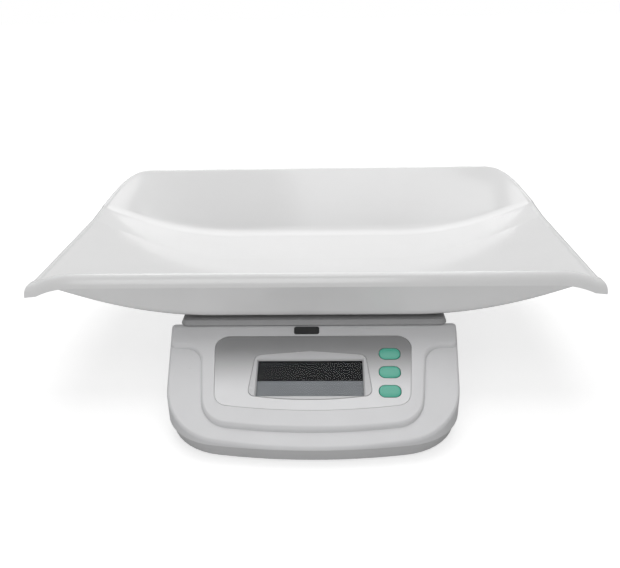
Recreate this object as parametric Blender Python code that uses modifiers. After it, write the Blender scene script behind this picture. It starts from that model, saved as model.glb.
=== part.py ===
"""A digital baby weighing scale: a curved tray on a load-cell platform, over a moulded base with a display pod.

Metres, +Z up. The origin is at the middle of the object's box, on the surface that it stands on.
-Y is the display side, where the parent stands, and the tray's length runs along X.
"""

import math

import bmesh
import bpy
from mathutils import Matrix, Vector

for thing in list(bpy.data.objects):
    bpy.data.objects.remove(thing, do_unlink=True)


# Driving dimensions of the whole object

tray_setback = 0.1055
tray_overhang = 0.0755
seat_gap = 0.0003
slide_gap = 0.0005
cut_overrun = 0.002

# Tray: a white hammock-shaped shell with a low front wall, a high back wall and a rolled lip

tray_length = 0.555
tray_depth = 0.2935
tray_wall = 0.003
tray_front_rise = 0.0526
tray_back_rise = 0.0761
tray_crease_offset = 0.0183
tray_crease_splay = 0.032
tray_floor_tilt_rise = 0.0031
tray_front_tilt_rise = 0.0005
tray_front_wall_run = 0.011
tray_back_wall_run = 0.0445
tray_flat_half = 0.100
tray_end_radius = 0.3745
tray_front_fillet = 0.010
tray_back_fillet = 0.017
tray_crease_fillet = 0.060
tray_corner_run = 0.0555
tray_corner_ease = 0.0025
tray_tip_run = 0.024
tray_tip_droop = 0.0115
lip_reach = 0.009
lip_drop = 0.0105
lip_roll = 0.0024
tray_foot_radius = 0.008
tray_pin_radius = 0.0025
tray_pin_length = 0.001

# Weighing platform: cover, pads, bracket and its posts

platform_gap = 0.0009
platform_side_margin = 0.0115
platform_end_margin = 0.002
platform_height = 0.005
platform_wall = 0.002
platform_corner = 0.006
platform_edge = 0.0012
platform_boss_radius = 0.012
tray_clearance = 0.0015
pad_inset_x = 0.0465
pad_inset_y = 0.0285
pad_radius = 0.010
pad_sink = 0.0009
pad_proud = 0.0007
pad_hole_radius = 0.0035
bracket_thickness = 0.003
bracket_arm_width = 0.026
bracket_bar_width = 0.044
bracket_corner = 0.008
bracket_flange_height = 0.003
bracket_flange_width = 0.0025
bracket_headroom = 0.0052
post_radius = 0.006
post_hole_clearance = 0.002
cover_screw_radius = 0.002
cover_screw_head_radius = 0.004
cover_screw_head_height = 0.0016
cover_screw_length = 0.010
cover_screw_seat = 0.0012

# Load cell: an aluminium bar that bends, fixed at one end and free at the other

cell_length = 0.130
cell_width = 0.030
cell_height = 0.022
cell_eye_radius = 0.0075
cell_eye_spacing = 0.026
cell_slot_height = 0.006
cell_screw_inset = 0.0075
cell_screw_spacing = 0.015
cell_screw_radius = 0.003
cell_screw_head_radius = 0.005
cell_screw_head_height = 0.0025
cell_screw_grip = 0.012
spacer_height = 0.003
spacer_length = 0.032
overload_gap = 0.0006
overload_stud_radius = 0.003
overload_flange_radius = 0.007
overload_flange_height = 0.004
lead_radius = 0.0017

# Base: upper housing with its raised display crown, lower housing and what stands in them

base_width = 0.286
base_height = 0.0735
base_ground_gap = 0.003
parting_height = 0.0165
housing_wall = 0.0028
lower_wall = 0.0025
front_height = 0.02272
knee_setback = 0.1208
knee_radius = 0.006
taper_setback = 0.1225
taper_angle = math.radians(5.6)
front_bow_radius = 0.620
front_bow_angle = math.radians(8.8)
front_corner = 0.0434
rear_corner = 0.025
rear_step = 0.0125
rear_step_reach = 0.0072
rear_step_corner = 0.004
rear_step_round = 0.003
apron_edge = 0.0025
crown_rise = 0.004
crown_step = 0.0008
crown_edge = 0.0026
crown_shoulder_setback = 0.0995
crown_shoulder_radius = 0.018
crown_shoulder_tip = 0.006
pod_shoulder_width = 0.033
pod_setback = 0.0133
pod_taper_angle = math.radians(7.8)
pod_bow_radius = 0.700
pod_bow_angle = math.radians(6.3)
pod_corner = 0.017
lower_inset = 0.0009
lower_bottom_inset = 0.0032
lower_bottom_edge = 0.0015
lower_corner_extra = 0.009
foot_radius = 0.011
foot_sink = 0.002
foot_edge = 0.001
foot_boss_wall = 0.0025
foot_inset_x = 0.030
foot_inset_front = 0.050
foot_inset_rear = 0.027
housing_screw_radius = 0.0015
housing_screw_head_radius = 0.003
housing_screw_head_height = 0.002
housing_screw_length = 0.018
housing_screw_seat = 0.0065
housing_post_wall = 0.0026
housing_post_inset_x = 0.026
housing_post_front = 0.082
housing_post_rear = 0.053

# Chassis plate that carries the load cell

chassis_side_margin = 0.019
chassis_end_margin = 0.0473
chassis_thickness = 0.0025
chassis_corner = 0.010
chassis_clear = 0.0048
chassis_post_radius = 0.005
chassis_post_inset = 0.012
chassis_flange = 0.006
chassis_screw_radius = 0.0015
chassis_screw_head_radius = 0.0032
chassis_screw_head_height = 0.0018
chassis_screw_length = 0.007

# Display panel, laid out on the slope: distances run down it from the knee

panel_top = 0.01235
panel_front_margin = 0.0199
panel_side_margin = 0.013
panel_taper_angle = math.radians(5.4)
panel_top_corner = 0.014
panel_bottom_corner = 0.014
panel_bow_radius = 0.600
panel_bow_angle = math.radians(6.7)
panel_thickness = 0.001
panel_fit = 0.00035
window_left_margin = 0.045
window_key_gap = 0.0162
window_top_margin = 0.0293
window_bottom_margin = 0.0157
window_thickness = 0.001
window_overlap = 0.0012
bezel_top_margin = 0.0108
bezel_bottom_margin = 0.0042
bezel_top_side = 0.0032
bezel_bottom_side = 0.0080
bezel_top_rise = 0.0096
bezel_bottom_rise = 0.0081
bezel_corner = 0.007
bezel_proud = 0.0006
bezel_edge = 0.0004
glass_thickness = 0.0022
holder_margin = 0.003
holder_pocket = 0.002
holder_wall = 0.0015
board_depth = 0.0109
board_thickness = 0.0016
board_top_margin = 0.0056
board_bottom_margin = 0.0022
board_left_margin = 0.014
board_right_margin = 0.0022
board_post_radius = 0.003
board_post_inset = 0.0045
board_stake_radius = 0.0012
board_stake_head_radius = 0.0024
board_stake_head_height = 0.0012
chip_size = 0.014
chip_thickness = 0.0016
connector_width = 0.012
connector_depth = 0.007
connector_height = 0.005
connector_inset_x = 0.030
connector_inset_y = 0.012

# Three oval keys in a column on the display's right

key_width = 0.020
key_height = 0.0128
key_proud = 0.0009
key_travel = 0.0008
key_edge = 0.0007
key_flange = 0.0016
key_flange_thickness = 0.0012
key_stem_radius = 0.0025
key_side_margin = 0.0132
key_top_margin = 0.0221
key_bottom_margin = 0.0202
key_lean_angle = math.radians(3)
key_names = ("power_key", "zero_key", "hold_key")
switch_size = 0.006
switch_height = 0.0032
switch_plunger_radius = 0.0015
switch_plunger_height = 0.0008

# Battery compartment on the underside, in front of the load cell

cell_count = 4
battery_radius = 0.00725
battery_length = 0.0495
battery_nub_radius = 0.0025
battery_nub_height = 0.001
contact_thickness = 0.0006
contact_spring_height = 0.0032
contact_spring_radius = 0.0045
contact_bump_height = 0.0010
battery_setback = 0.0882
battery_box_wall = 0.002
door_thickness = 0.0022
door_ledge = 0.0022
door_travel = 0.010
door_hook_length = 0.008
door_hook_reach = 0.0025
door_hook_thickness = 0.0011
door_floor = 0.002
door_rim = 0.004
door_grip_depth = 0.0008
door_grip_width = 0.0015
door_grips = 4

round_sides = 16
small_sides = 8
outline_step = math.radians(18)
bow_step = math.radians(3)
flat_angle = math.radians(0.1)
round_reach_share = 0.96
weld_distance = 1e-6


# Places worked out from the sizes

base_front = -(tray_setback + tray_depth) / 2
tray_front = base_front + tray_setback
tray_back = tray_front + tray_depth
base_rear = tray_back - tray_overhang
base_depth = base_rear - base_front
tray_middle = (tray_front + tray_back) / 2
platform_bottom = base_height + platform_gap
platform_top = platform_bottom + platform_height
tray_floor = platform_top + tray_clearance + tray_wall
knee_y = base_front + knee_setback
slope_angle = math.atan2(base_height - front_height, knee_setback)
platform_width = base_width - 2 * platform_side_margin
platform_front = knee_y + platform_end_margin
platform_back = base_rear - platform_end_margin
load_y = (platform_front + platform_back) / 2
pad_spacing_x = platform_width - 2 * pad_inset_x
pad_spacing_y = platform_back - platform_front - 2 * pad_inset_y
chassis_width = cell_length + 2 * chassis_side_margin
chassis_depth = platform_back - platform_front - 2 * chassis_end_margin
chassis_low = base_ground_gap + lower_wall + chassis_clear
crown_drop = crown_rise / math.cos(slope_angle)
wall_drop = housing_wall / math.cos(slope_angle)
ceiling = base_height - wall_drop
lower_floor = base_ground_gap + lower_wall
panel_frame = Matrix.Translation((0, knee_y, base_height)) @ Matrix.Rotation(slope_angle, 4, "X")
side_frame = Matrix(((0, 0, 1, 0), (1, 0, 0, 0), (0, 1, 0, 0), (0, 0, 0, 1)))

pod_width = base_width - 2 * pod_shoulder_width
panel_top_width = pod_width - 2 * panel_side_margin
panel_bottom = (knee_setback - pod_setback) / math.cos(slope_angle) - panel_front_margin
key_first_x = panel_top_width / 2 - key_side_margin - key_width / 2
key_first = panel_top + key_top_margin
key_pitch = (panel_bottom - key_bottom_margin - key_first) / (len(key_names) - 1)
key_places = [
    (key_first_x - i * key_pitch * math.tan(key_lean_angle), -key_first - i * key_pitch)
    for i in range(len(key_names))
]
window_left = -panel_top_width / 2 + window_left_margin
window_right = key_first_x - key_width / 2 - window_key_gap
window_middle = (window_left + window_right) / 2
window_top = panel_top + window_top_margin
window_bottom = panel_bottom - window_bottom_margin
bezel_top = window_top - bezel_top_margin
bezel_bottom = window_bottom + bezel_bottom_margin
board_left = window_left - board_left_margin
board_right = key_first_x + key_width / 2 + board_right_margin
board_top = panel_top + board_top_margin
board_bottom = panel_bottom - board_bottom_margin
connector_place = (board_left + connector_inset_x, -board_top - connector_inset_y)

parts = bpy.data.collections.new("baby_weighing_scale")
tools = bpy.data.collections.new("cutters")
bpy.context.scene.collection.children.link(parts)
bpy.context.scene.collection.children.link(tools)


# Materials, each with the part's own colour, roughness and metallic value

def material(name, colour, roughness, metallic=0.0):
    made = bpy.data.materials.new(name)
    made.use_nodes = True
    shader = made.node_tree.nodes["Principled BSDF"]
    shader.inputs["Base Color"].default_value = (*colour, 1.0)
    shader.inputs["Roughness"].default_value = roughness
    shader.inputs["Metallic"].default_value = metallic
    return made


tray_white = material("tray_white", (0.86, 0.86, 0.86), 0.22)
housing_grey = material("housing_grey", (0.70, 0.70, 0.71), 0.38)
lower_grey = material("lower_grey", (0.50, 0.50, 0.51), 0.45)
platform_grey = material("platform_grey", (0.50, 0.50, 0.51), 0.50)
panel_grey = material("panel_grey", (0.62, 0.62, 0.63), 0.30)
bezel_grey = material("bezel_grey", (0.74, 0.74, 0.75), 0.25)
window_clear = material("window_clear", (0.10, 0.11, 0.12), 0.06)
glass_grey = material("glass_grey", (0.26, 0.28, 0.28), 0.12)
key_teal = material("key_teal", (0.13, 0.52, 0.42), 0.40)
rubber_black = material("rubber_black", (0.03, 0.03, 0.03), 0.80)
aluminium = material("aluminium", (0.72, 0.73, 0.75), 0.35, 1.0)
steel = material("steel", (0.60, 0.60, 0.62), 0.32, 1.0)
board_green = material("board_green", (0.04, 0.22, 0.10), 0.45)
chip_black = material("chip_black", (0.02, 0.02, 0.02), 0.50)
nickel = material("nickel", (0.75, 0.72, 0.66), 0.30, 1.0)
battery_blue = material("battery_blue", (0.10, 0.12, 0.16), 0.35, 0.4)
inner_white = material("inner_white", (0.80, 0.80, 0.80), 0.50)
lead_grey = material("lead_grey", (0.35, 0.35, 0.36), 0.60)


# Flat shapes: a shape is a list of corners (x, y, radius), counter-clockwise

def mirrored(half):
    """A shape from its right half, which starts at the front's middle corner or goes round from front to back."""
    left = [(-x, y, radius) for x, y, radius in reversed(half) if x != 0]
    return half + left


def inset(shape, distance):
    """The shape with each side moved inwards, and each round corner kept concentric."""
    moved = []
    count = len(shape)
    for i, (x, y, radius) in enumerate(shape):
        here = Vector((x, y))
        before = (here - Vector(shape[i - 1][:2])).normalized()
        after = (Vector(shape[(i + 1) % count][:2]) - here).normalized()
        in_before = Vector((-before.y, before.x))
        in_after = Vector((-after.y, after.x))
        turn = before.x * after.y - before.y * after.x
        corner = here + (in_before + in_after) * distance / (1 + in_before.dot(in_after))
        new_radius = radius - distance if turn > 0 else radius + distance
        moved.append((corner.x, corner.y, max(new_radius, 0)))
    return moved


def arc(start, corner, end, radius, reach, step):
    """Points of the round that a corner gets, which takes no more of its sides than reach."""
    to_start = (start - corner).normalized()
    to_end = (end - corner).normalized()
    opening = to_start.angle(to_end)
    if radius == 0 or opening > math.pi * 0.999:
        return [corner]
    along = min(radius / math.tan(opening / 2), reach)
    radius = along * math.tan(opening / 2)
    centre = corner + (to_start + to_end).normalized() * radius / math.sin(opening / 2)
    first = corner + to_start * along - centre
    sweep = first.angle_signed(corner + to_end * along - centre)
    count = 2 * max(1, round((math.pi - opening) / step / 2))
    made = []
    for i in range(count + 1):
        angle = -sweep * i / count
        turned = Vector((
            first.x * math.cos(angle) - first.y * math.sin(angle),
            first.x * math.sin(angle) + first.y * math.cos(angle),
        ))
        made.append(centre + turned)
    return made


def outline(shape):
    """The points of a shape with its corners rounded. A long shallow bow is stepped more finely."""
    corners = [Vector((x, y)) for x, y, radius in shape]
    count = len(corners)
    wanted = []
    for i, (x, y, radius) in enumerate(shape):
        to_before = corners[i - 1] - corners[i]
        to_after = corners[(i + 1) % count] - corners[i]
        wanted.append(radius / math.tan(to_before.angle(to_after) / 2))
    points = []
    for i in range(count):
        last, following = (i - 1) % count, (i + 1) % count
        before, after = corners[last], corners[following]
        length_before = (corners[i] - before).length
        length_after = (corners[i] - after).length
        share_before = wanted[i] / max(wanted[i] + wanted[last], 1e-12)
        share_after = wanted[i] / max(wanted[i] + wanted[following], 1e-12)
        reach = min(length_before * share_before, length_after * share_after) * round_reach_share
        turn = math.pi - (before - corners[i]).angle(after - corners[i])
        step = bow_step if turn < math.radians(20) else outline_step
        points += arc(before, corners[i], after, shape[i][2], reach, step)
    return [(p.x, p.y) for p in points]


def rectangle(low_x, low_y, high_x, high_y, radius):
    return [
        (low_x, low_y, radius),
        (high_x, low_y, radius),
        (high_x, high_y, radius),
        (low_x, high_y, radius),
    ]


def oval(width, height, middle_x, middle_y):
    """A key's outline: straight middle, round ends a little flatter than half circles."""
    flat_share = 0.92
    radius = height / 2 * flat_share
    half_x, half_y = width / 2, height / 2
    return rectangle(middle_x - half_x, middle_y - half_y, middle_x + half_x, middle_y + half_y, radius)


# Solids and what is done to them

def add(name, mesh, look=None, where=None):
    """A part if it has a look, otherwise a cutter or a body that another takes in."""
    made = bpy.data.objects.new(name, mesh)
    if where is not None:
        made.matrix_world = where
    if look is None:
        tools.objects.link(made)
        made.hide_render = True
        made.display_type = "WIRE"
    else:
        parts.objects.link(made)
        mesh.materials.append(look)
    return made


def finished(bm, name):
    bmesh.ops.recalc_face_normals(bm, faces=bm.faces)
    mesh = bpy.data.meshes.new(name)
    bm.to_mesh(mesh)
    bm.free()
    return mesh


def prism(name, shape, low, high, look=None, where=None):
    """A shape as a filled flat curve with a thickness, made a mesh so that it can be cut."""
    points = outline(shape)
    curve = bpy.data.curves.new(name, "CURVE")
    curve.dimensions = "2D"
    curve.fill_mode = "BOTH"
    curve.extrude = (high - low) / 2
    line = curve.splines.new("POLY")
    line.points.add(len(points) - 1)
    for point, (x, y) in zip(line.points, points):
        point.co = (x, y, 0, 1)
    line.use_cyclic_u = True
    mesh = mesh_of(name, curve)
    mesh.transform(Matrix.Translation((0, 0, (low + high) / 2)))
    return add(name, mesh, look, where)


def mesh_of(name, curve):
    """The curve's mesh with its caps welded on and their flat faces whole."""
    drawn = bpy.data.objects.new(name, curve)
    tools.objects.link(drawn)
    bm = bmesh.new()
    bm.from_mesh(bpy.data.meshes.new_from_object(drawn))
    bpy.data.objects.remove(drawn)
    bmesh.ops.remove_doubles(bm, verts=bm.verts, dist=weld_distance)
    bmesh.ops.dissolve_limit(bm, angle_limit=flat_angle, verts=bm.verts, edges=bm.edges)
    return finished(bm, name)


def loft(name, levels, look=None):
    """A solid through outlines of equal count, each at its own height: (shape, height)."""
    bm = bmesh.new()
    rings = []
    for shape, height in levels:
        rings.append([bm.verts.new((x, y, height)) for x, y in outline(shape)])
    for lower, upper in zip(rings, rings[1:]):
        count = len(lower)
        for i in range(count):
            j = (i + 1) % count
            bm.faces.new((lower[i], lower[j], upper[j], upper[i]))
    bm.faces.new(rings[0])
    bm.faces.new(rings[-1])
    return add(name, finished(bm, name), look)


def block(name, low, high, look=None, where=None):
    bm = bmesh.new()
    size = Vector(high) - Vector(low)
    middle = (Vector(high) + Vector(low)) / 2
    at = Matrix.Translation(middle) @ Matrix.Diagonal((*size, 1))
    bmesh.ops.create_cube(bm, size=1, matrix=at)
    return add(name, finished(bm, name), look, where)


def cylinders(name, places, radius, low, high, look=None, where=None, sides=round_sides):
    """Upright cylinders at (x, y) places, in one mesh."""
    bm = bmesh.new()
    for x, y in places:
        at = Matrix.Translation((x, y, (low + high) / 2))
        bmesh.ops.create_cone(
            bm, cap_ends=True, segments=sides, radius1=radius, radius2=radius, depth=high - low, matrix=at
        )
    return add(name, finished(bm, name), look, where)


def turned(name, profile, look=None, where=None, sides=small_sides):
    """A profile of (radius, height) from the axis at the top to the axis at the bottom, turned about Z."""
    bm = bmesh.new()
    points = [bm.verts.new((radius, 0, height)) for radius, height in profile]
    for upper, lower in zip(points, points[1:]):
        bm.edges.new((upper, lower))
    mesh = bpy.data.meshes.new(name)
    bm.to_mesh(mesh)
    bm.free()
    made = add(name, mesh, look, where)
    screw = made.modifiers.new("turn", "SCREW")
    screw.steps = sides
    screw.render_steps = sides
    screw.use_merge_vertices = True
    screw.merge_threshold = weld_distance
    return made


def combine(target, tool, operation):
    change = target.modifiers.new(tool.name, "BOOLEAN")
    change.object = tool
    change.operation = operation
    change.solver = "EXACT"
    return target


def cut(target, *cutters):
    for tool in cutters:
        combine(target, tool, "DIFFERENCE")
    return target


def join(target, *bodies):
    for tool in bodies:
        combine(target, tool, "UNION")
    return target


def keep_inside(target, tool):
    return combine(target, tool, "INTERSECT")


def round_edges(target, width, segments=2, sharper_than=math.radians(40)):
    change = target.modifiers.new("edges", "BEVEL")
    change.width = width
    change.segments = segments
    change.limit_method = "ANGLE"
    change.angle_limit = sharper_than
    change.use_clamp_overlap = True
    return target


def smooth(target, sharp=math.radians(35)):
    target.data.shade_smooth()
    target.data.set_sharp_from_angle(angle=sharp)
    return target


# Shapes of the base, seen from above

def side_x(y):
    """Half the width of the base's front part at a place along its depth: it narrows to the front."""
    start = base_front + taper_setback
    return base_width / 2 - (start - y) * math.tan(taper_angle)


def rear_corners(step):
    """The corners behind the knee, where the sides step in under the platform, moved inwards by step."""
    step_y = knee_y + rear_step_reach - step
    rear_x = base_width / 2 - rear_step - step
    return [
        (side_x(step_y) - step, step_y, rear_step_corner - step),
        (rear_x, step_y, rear_step_round + step),
        (rear_x, base_rear - step, rear_corner - step),
    ]


def bowed_corner(front, bow_radius, bow_angle, start_x, start_y, lean_angle):
    """The front's middle corner, and where the bowed front meets a side line that leans in."""
    middle_y = front - bow_radius * (1 / math.cos(bow_angle) - 1)
    lean, rise = math.tan(lean_angle), math.tan(bow_angle)
    x = (start_x - lean * (start_y - middle_y)) / (1 - lean * rise)
    return middle_y, x, middle_y + x * rise


def base_shape():
    start = base_front + taper_setback
    middle_y, x, y = bowed_corner(
        base_front, front_bow_radius, front_bow_angle, base_width / 2, start, taper_angle
    )
    half = [
        (0, middle_y, front_bow_radius),
        (x, y, front_corner),
        *rear_corners(0),
    ]
    return mirrored(half)


def crown_shape():
    """The raised top: as wide as the base at the back, with shoulders down to the display pod at the front."""
    shoulder_y = base_front + crown_shoulder_setback
    middle_y, x, y = bowed_corner(
        base_front + pod_setback, pod_bow_radius, pod_bow_angle, pod_width / 2, shoulder_y, pod_taper_angle
    )
    half = [
        (0, middle_y, pod_bow_radius),
        (x, y, pod_corner),
        (pod_width / 2, shoulder_y, crown_shoulder_radius),
        (side_x(shoulder_y) - crown_step, shoulder_y, crown_shoulder_tip),
        *rear_corners(crown_step),
    ]
    return mirrored(half)


def slope_profile(drop):
    """Side view under the base's top: flat behind the knee and sloping down to the front."""
    margin = base_depth / 10
    reach = knee_y - base_front + margin
    top = base_height - drop
    return [
        (base_front - margin, -margin, 0),
        (base_rear + margin, -margin, 0),
        (base_rear + margin, top, 0),
        (knee_y, top, knee_radius),
        (base_front - margin, top - reach * math.tan(slope_angle), 0),
    ]


def under_slope(name, shape, low, drop, look=None):
    body = prism(name, shape, low, base_height + cut_overrun, look)
    profile = prism(name + "_profile", slope_profile(drop), -base_width, base_width, None, side_frame)
    return keep_inside(body, profile)


# Places of what is repeated

def four(spacing_x, spacing_y, middle_y):
    half_x, half_y = spacing_x / 2, spacing_y / 2
    return [
        (-half_x, middle_y - half_y),
        (half_x, middle_y - half_y),
        (half_x, middle_y + half_y),
        (-half_x, middle_y + half_y),
    ]


post_places = four(pad_spacing_x, pad_spacing_y, load_y)
chassis_places = four(
    chassis_width - 2 * chassis_post_inset, chassis_depth - 2 * chassis_post_inset, load_y
)
foot_places = [
    (-base_width / 2 + foot_inset_x, base_front + foot_inset_front),
    (base_width / 2 - foot_inset_x, base_front + foot_inset_front),
    (base_width / 2 - foot_inset_x, base_rear - foot_inset_rear),
    (-base_width / 2 + foot_inset_x, base_rear - foot_inset_rear),
]
screw_places = [
    (-base_width / 2 + housing_post_inset_x, base_front + housing_post_front),
    (base_width / 2 - housing_post_inset_x, base_front + housing_post_front),
    (base_width / 2 - housing_post_inset_x, base_rear - housing_post_rear),
    (-base_width / 2 + housing_post_inset_x, base_rear - housing_post_rear),
]


# Tray

def hammock(x):
    """How far the tray's floor has risen at a place along its length."""
    beyond = max(abs(x) - tray_flat_half, 0)
    return beyond**2 / (2 * tray_end_radius)


def eased(share):
    share = min(max(share, 0), 1)
    return share * share * (3 - 2 * share)


def tray_corners(x):
    """The tray's section at x, as corners (y, z, radius) from the front rim to the back rim."""
    rim_x = tray_length / 2 - lip_reach
    lift = hammock(x)
    tip_start = rim_x - tray_tip_run
    droop = tray_tip_droop * max((abs(x) - tip_start) / tray_tip_run, 0) ** 2
    front_rim = (tray_front + lip_reach, tray_floor + tray_front_rise - lip_roll - droop)
    front_low = (front_rim[0] + tray_front_wall_run, tray_floor + tray_front_tilt_rise + lift)
    splay = tray_crease_splay * eased((abs(x) - tray_flat_half) / (rim_x - tray_flat_half))
    crease = (tray_middle + tray_crease_offset + splay, tray_floor + lift)
    back_low = (tray_back - lip_reach - tray_back_wall_run, tray_floor + tray_floor_tilt_rise + lift)
    beyond = max(abs(x) - (rim_x - tray_corner_run), 0)
    wall_share = math.sqrt(max(1 - (beyond / (tray_corner_run + tray_corner_ease)) ** 2, 0))
    back_top = tray_floor + tray_back_rise - lip_roll
    back_rim = (
        back_low[0] + tray_back_wall_run * wall_share,
        back_low[1] + (back_top - back_low[1]) * wall_share,
    )
    return [
        (*front_rim, 0),
        (*front_low, tray_front_fillet),
        (*crease, tray_crease_fillet),
        (*back_low, tray_back_fillet),
        (*back_rim, 0),
    ]


def tray_section(x):
    """Points of that section: the corners rounded, with the same number of points at every x."""
    corners = tray_corners(x)
    places = [Vector(corner[:2]) for corner in corners]
    fillet_steps = (4, 3, 6)
    section = [places[0]]
    for i, steps in zip((1, 2, 3), fillet_steps):
        before, here, after = places[i - 1], places[i], places[i + 1]
        to_before, to_after = (before - here), (after - here)
        opening = to_before.angle(to_after)
        along = corners[i][2] / math.tan(opening / 2)
        along = min(along, to_before.length * 0.45, to_after.length * 0.7)
        first = here + to_before.normalized() * along
        last = here + to_after.normalized() * along
        for k in range(steps + 1):
            t = k / steps
            section.append(first * (1 - t) ** 2 + here * 2 * t * (1 - t) + last * t**2)
    section.append(places[-1])
    return section


def tray_stations():
    """Places along the tray's right half, closer together where the back corner turns."""
    rim_x = tray_length / 2 - lip_reach
    corner_x = rim_x - tray_corner_run
    inner_shares = (0, 0.25, 0.5, 0.62, 0.74, 0.87, 1)
    corner_shares = (0.27, 0.5, 0.69, 0.84, 0.94, 1)
    return [corner_x * share for share in inner_shares] + [
        corner_x + tray_corner_run * share for share in corner_shares
    ]


def roll_lip(bm, rim, down_shares, out_shares):
    """The rim's edges drawn out and down, ring by ring, square to the rim as seen from above."""
    starts = [v.co.copy() for v in rim]
    outward = []
    for i, here in enumerate(starts):
        sides = []
        if i > 0:
            sides.append(here - starts[i - 1])
        if i < len(starts) - 1:
            sides.append(starts[i + 1] - here)
        normals = [Vector((side.y, -side.x)).normalized() for side in sides]
        mean = sum(normals, Vector((0, 0))) / len(normals)
        outward.append(mean / max(mean.length_squared, 0.5))
    outward[0] = Vector((0, -1))
    outward[-1] = Vector((0, 1))
    last = rim
    for down, out in zip(down_shares, out_shares):
        ring = []
        for here, away in zip(starts, outward):
            step = away * lip_reach * out
            ring.append(bm.verts.new((here.x + step.x, here.y + step.y, here.z + down)))
        for i in range(len(ring) - 1):
            bm.faces.new((last[i], ring[i], ring[i + 1], last[i + 1]))
        last = ring


def make_tray():
    stations = tray_stations()
    sections = [tray_section(x) for x in stations]
    bm = bmesh.new()
    grid = [
        [bm.verts.new((x, point.x, point.y)) for point in section]
        for x, section in zip(stations, sections)
    ]
    for near, far in zip(grid, grid[1:]):
        for i in range(len(near) - 1):
            bm.faces.new((near[i], far[i], far[i + 1], near[i + 1]))
    front = [column[0] for column in grid]
    back = [column[-1] for column in reversed(grid)]
    rim = front + grid[-1][1:-1] + back
    downs = (lip_roll * 0.8, lip_roll, lip_roll * 0.4, -lip_drop * 0.4, -lip_drop)
    outs = (0.16, 0.38, 0.62, 0.82, 1)
    roll_lip(bm, rim, downs, outs)
    mesh = bpy.data.meshes.new("tray")
    bm.to_mesh(mesh)
    bm.free()
    tray = add("tray", mesh, tray_white)
    mirror = tray.modifiers.new("other_half", "MIRROR")
    mirror.use_axis = (True, False, False)
    mirror.use_clip = True
    mirror.merge_threshold = weld_distance
    shell = tray.modifiers.new("wall", "SOLIDIFY")
    shell.thickness = tray_wall
    shell.offset = -1
    shell.use_even_offset = True
    foot_low = platform_top + pad_proud + seat_gap
    for i, (x, y) in enumerate(post_places):
        top = tray_floor + hammock(x) - tray_wall * 0.3
        foot = cylinders(f"tray_foot_{i + 1}", [(x, y)], tray_foot_radius, foot_low, top)
        pin = cylinders(
            f"tray_pin_{i + 1}", [(x, y)], tray_pin_radius, foot_low - tray_pin_length, foot_low + tray_wall / 2,
            sides=small_sides,
        )
        join(tray, join(foot, pin))
    return smooth(tray, math.radians(50))


# Weighing platform

def make_platform():
    half = platform_width / 2
    shape = rectangle(-half, platform_front, half, platform_back, platform_corner)
    cover = prism("platform_cover", shape, platform_bottom, platform_top, platform_grey)
    round_edges(cover, platform_edge)
    hollow = prism(
        "platform_hollow", inset(shape, platform_wall), platform_bottom - cut_overrun, platform_top - platform_wall
    )
    boss_low = platform_bottom + seat_gap + slide_gap
    bosses = cylinders(
        "platform_bosses", post_places, platform_boss_radius, boss_low, platform_top - platform_wall / 2
    )
    pad_floor = platform_top - pad_sink
    recess = cylinders(
        "pad_recess", post_places, pad_radius + seat_gap, pad_floor, platform_top + cut_overrun
    )
    head_seat = boss_low + cover_screw_seat
    head_room = cylinders(
        "cover_screw_heads", post_places, cover_screw_head_radius + seat_gap, head_seat, pad_floor + pad_sink / 2
    )
    holes = cylinders(
        "cover_screw_holes", post_places, cover_screw_radius + seat_gap, boss_low - cut_overrun,
        head_seat + cover_screw_seat / 2, sides=small_sides,
    )
    cut(cover, hollow)
    join(cover, bosses)
    cut(cover, recess, head_room, holes)
    post_top = boss_low - seat_gap
    pad_low = pad_floor + seat_gap
    pad_top = platform_top + pad_proud
    for i, (x, y) in enumerate(post_places):
        at = Matrix.Translation((x, y, 0))
        pad = cylinders(
            f"tray_pad_{i + 1}", [(x, y)], pad_radius, pad_low, pad_top, rubber_black
        )
        cut(pad, cylinders(
            f"pad_hole_{i + 1}", [(x, y)], pad_hole_radius, pad_low - cut_overrun, pad_top + cut_overrun,
            sides=small_sides,
        ))
        head_low = head_seat + seat_gap
        screw_profile = [
            (0, head_low + cover_screw_head_height),
            (cover_screw_head_radius * 0.8, head_low + cover_screw_head_height),
            (cover_screw_head_radius, head_low + cover_screw_head_height * 0.6),
            (cover_screw_head_radius, head_low),
            (cover_screw_radius, head_low),
            (cover_screw_radius, head_low - cover_screw_length),
            (0, head_low - cover_screw_length),
        ]
        smooth(turned(f"cover_screw_{i + 1}", screw_profile, steel, at))
    return post_top, head_low


def h_shape(spacing_x, spacing_y, arm, bar, middle_y, corner):
    """Two arms along Y, joined by a wide bar along X."""
    out_x, in_x = spacing_x / 2 + arm / 2, spacing_x / 2 - arm / 2
    out_y, in_y = spacing_y / 2 + arm / 2, bar / 2
    half = [
        (in_x, middle_y - in_y, corner),
        (in_x, middle_y - out_y, corner),
        (out_x, middle_y - out_y, corner),
        (out_x, middle_y + out_y, corner),
        (in_x, middle_y + out_y, corner),
        (in_x, middle_y + in_y, corner),
    ]
    return mirrored(half)


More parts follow.
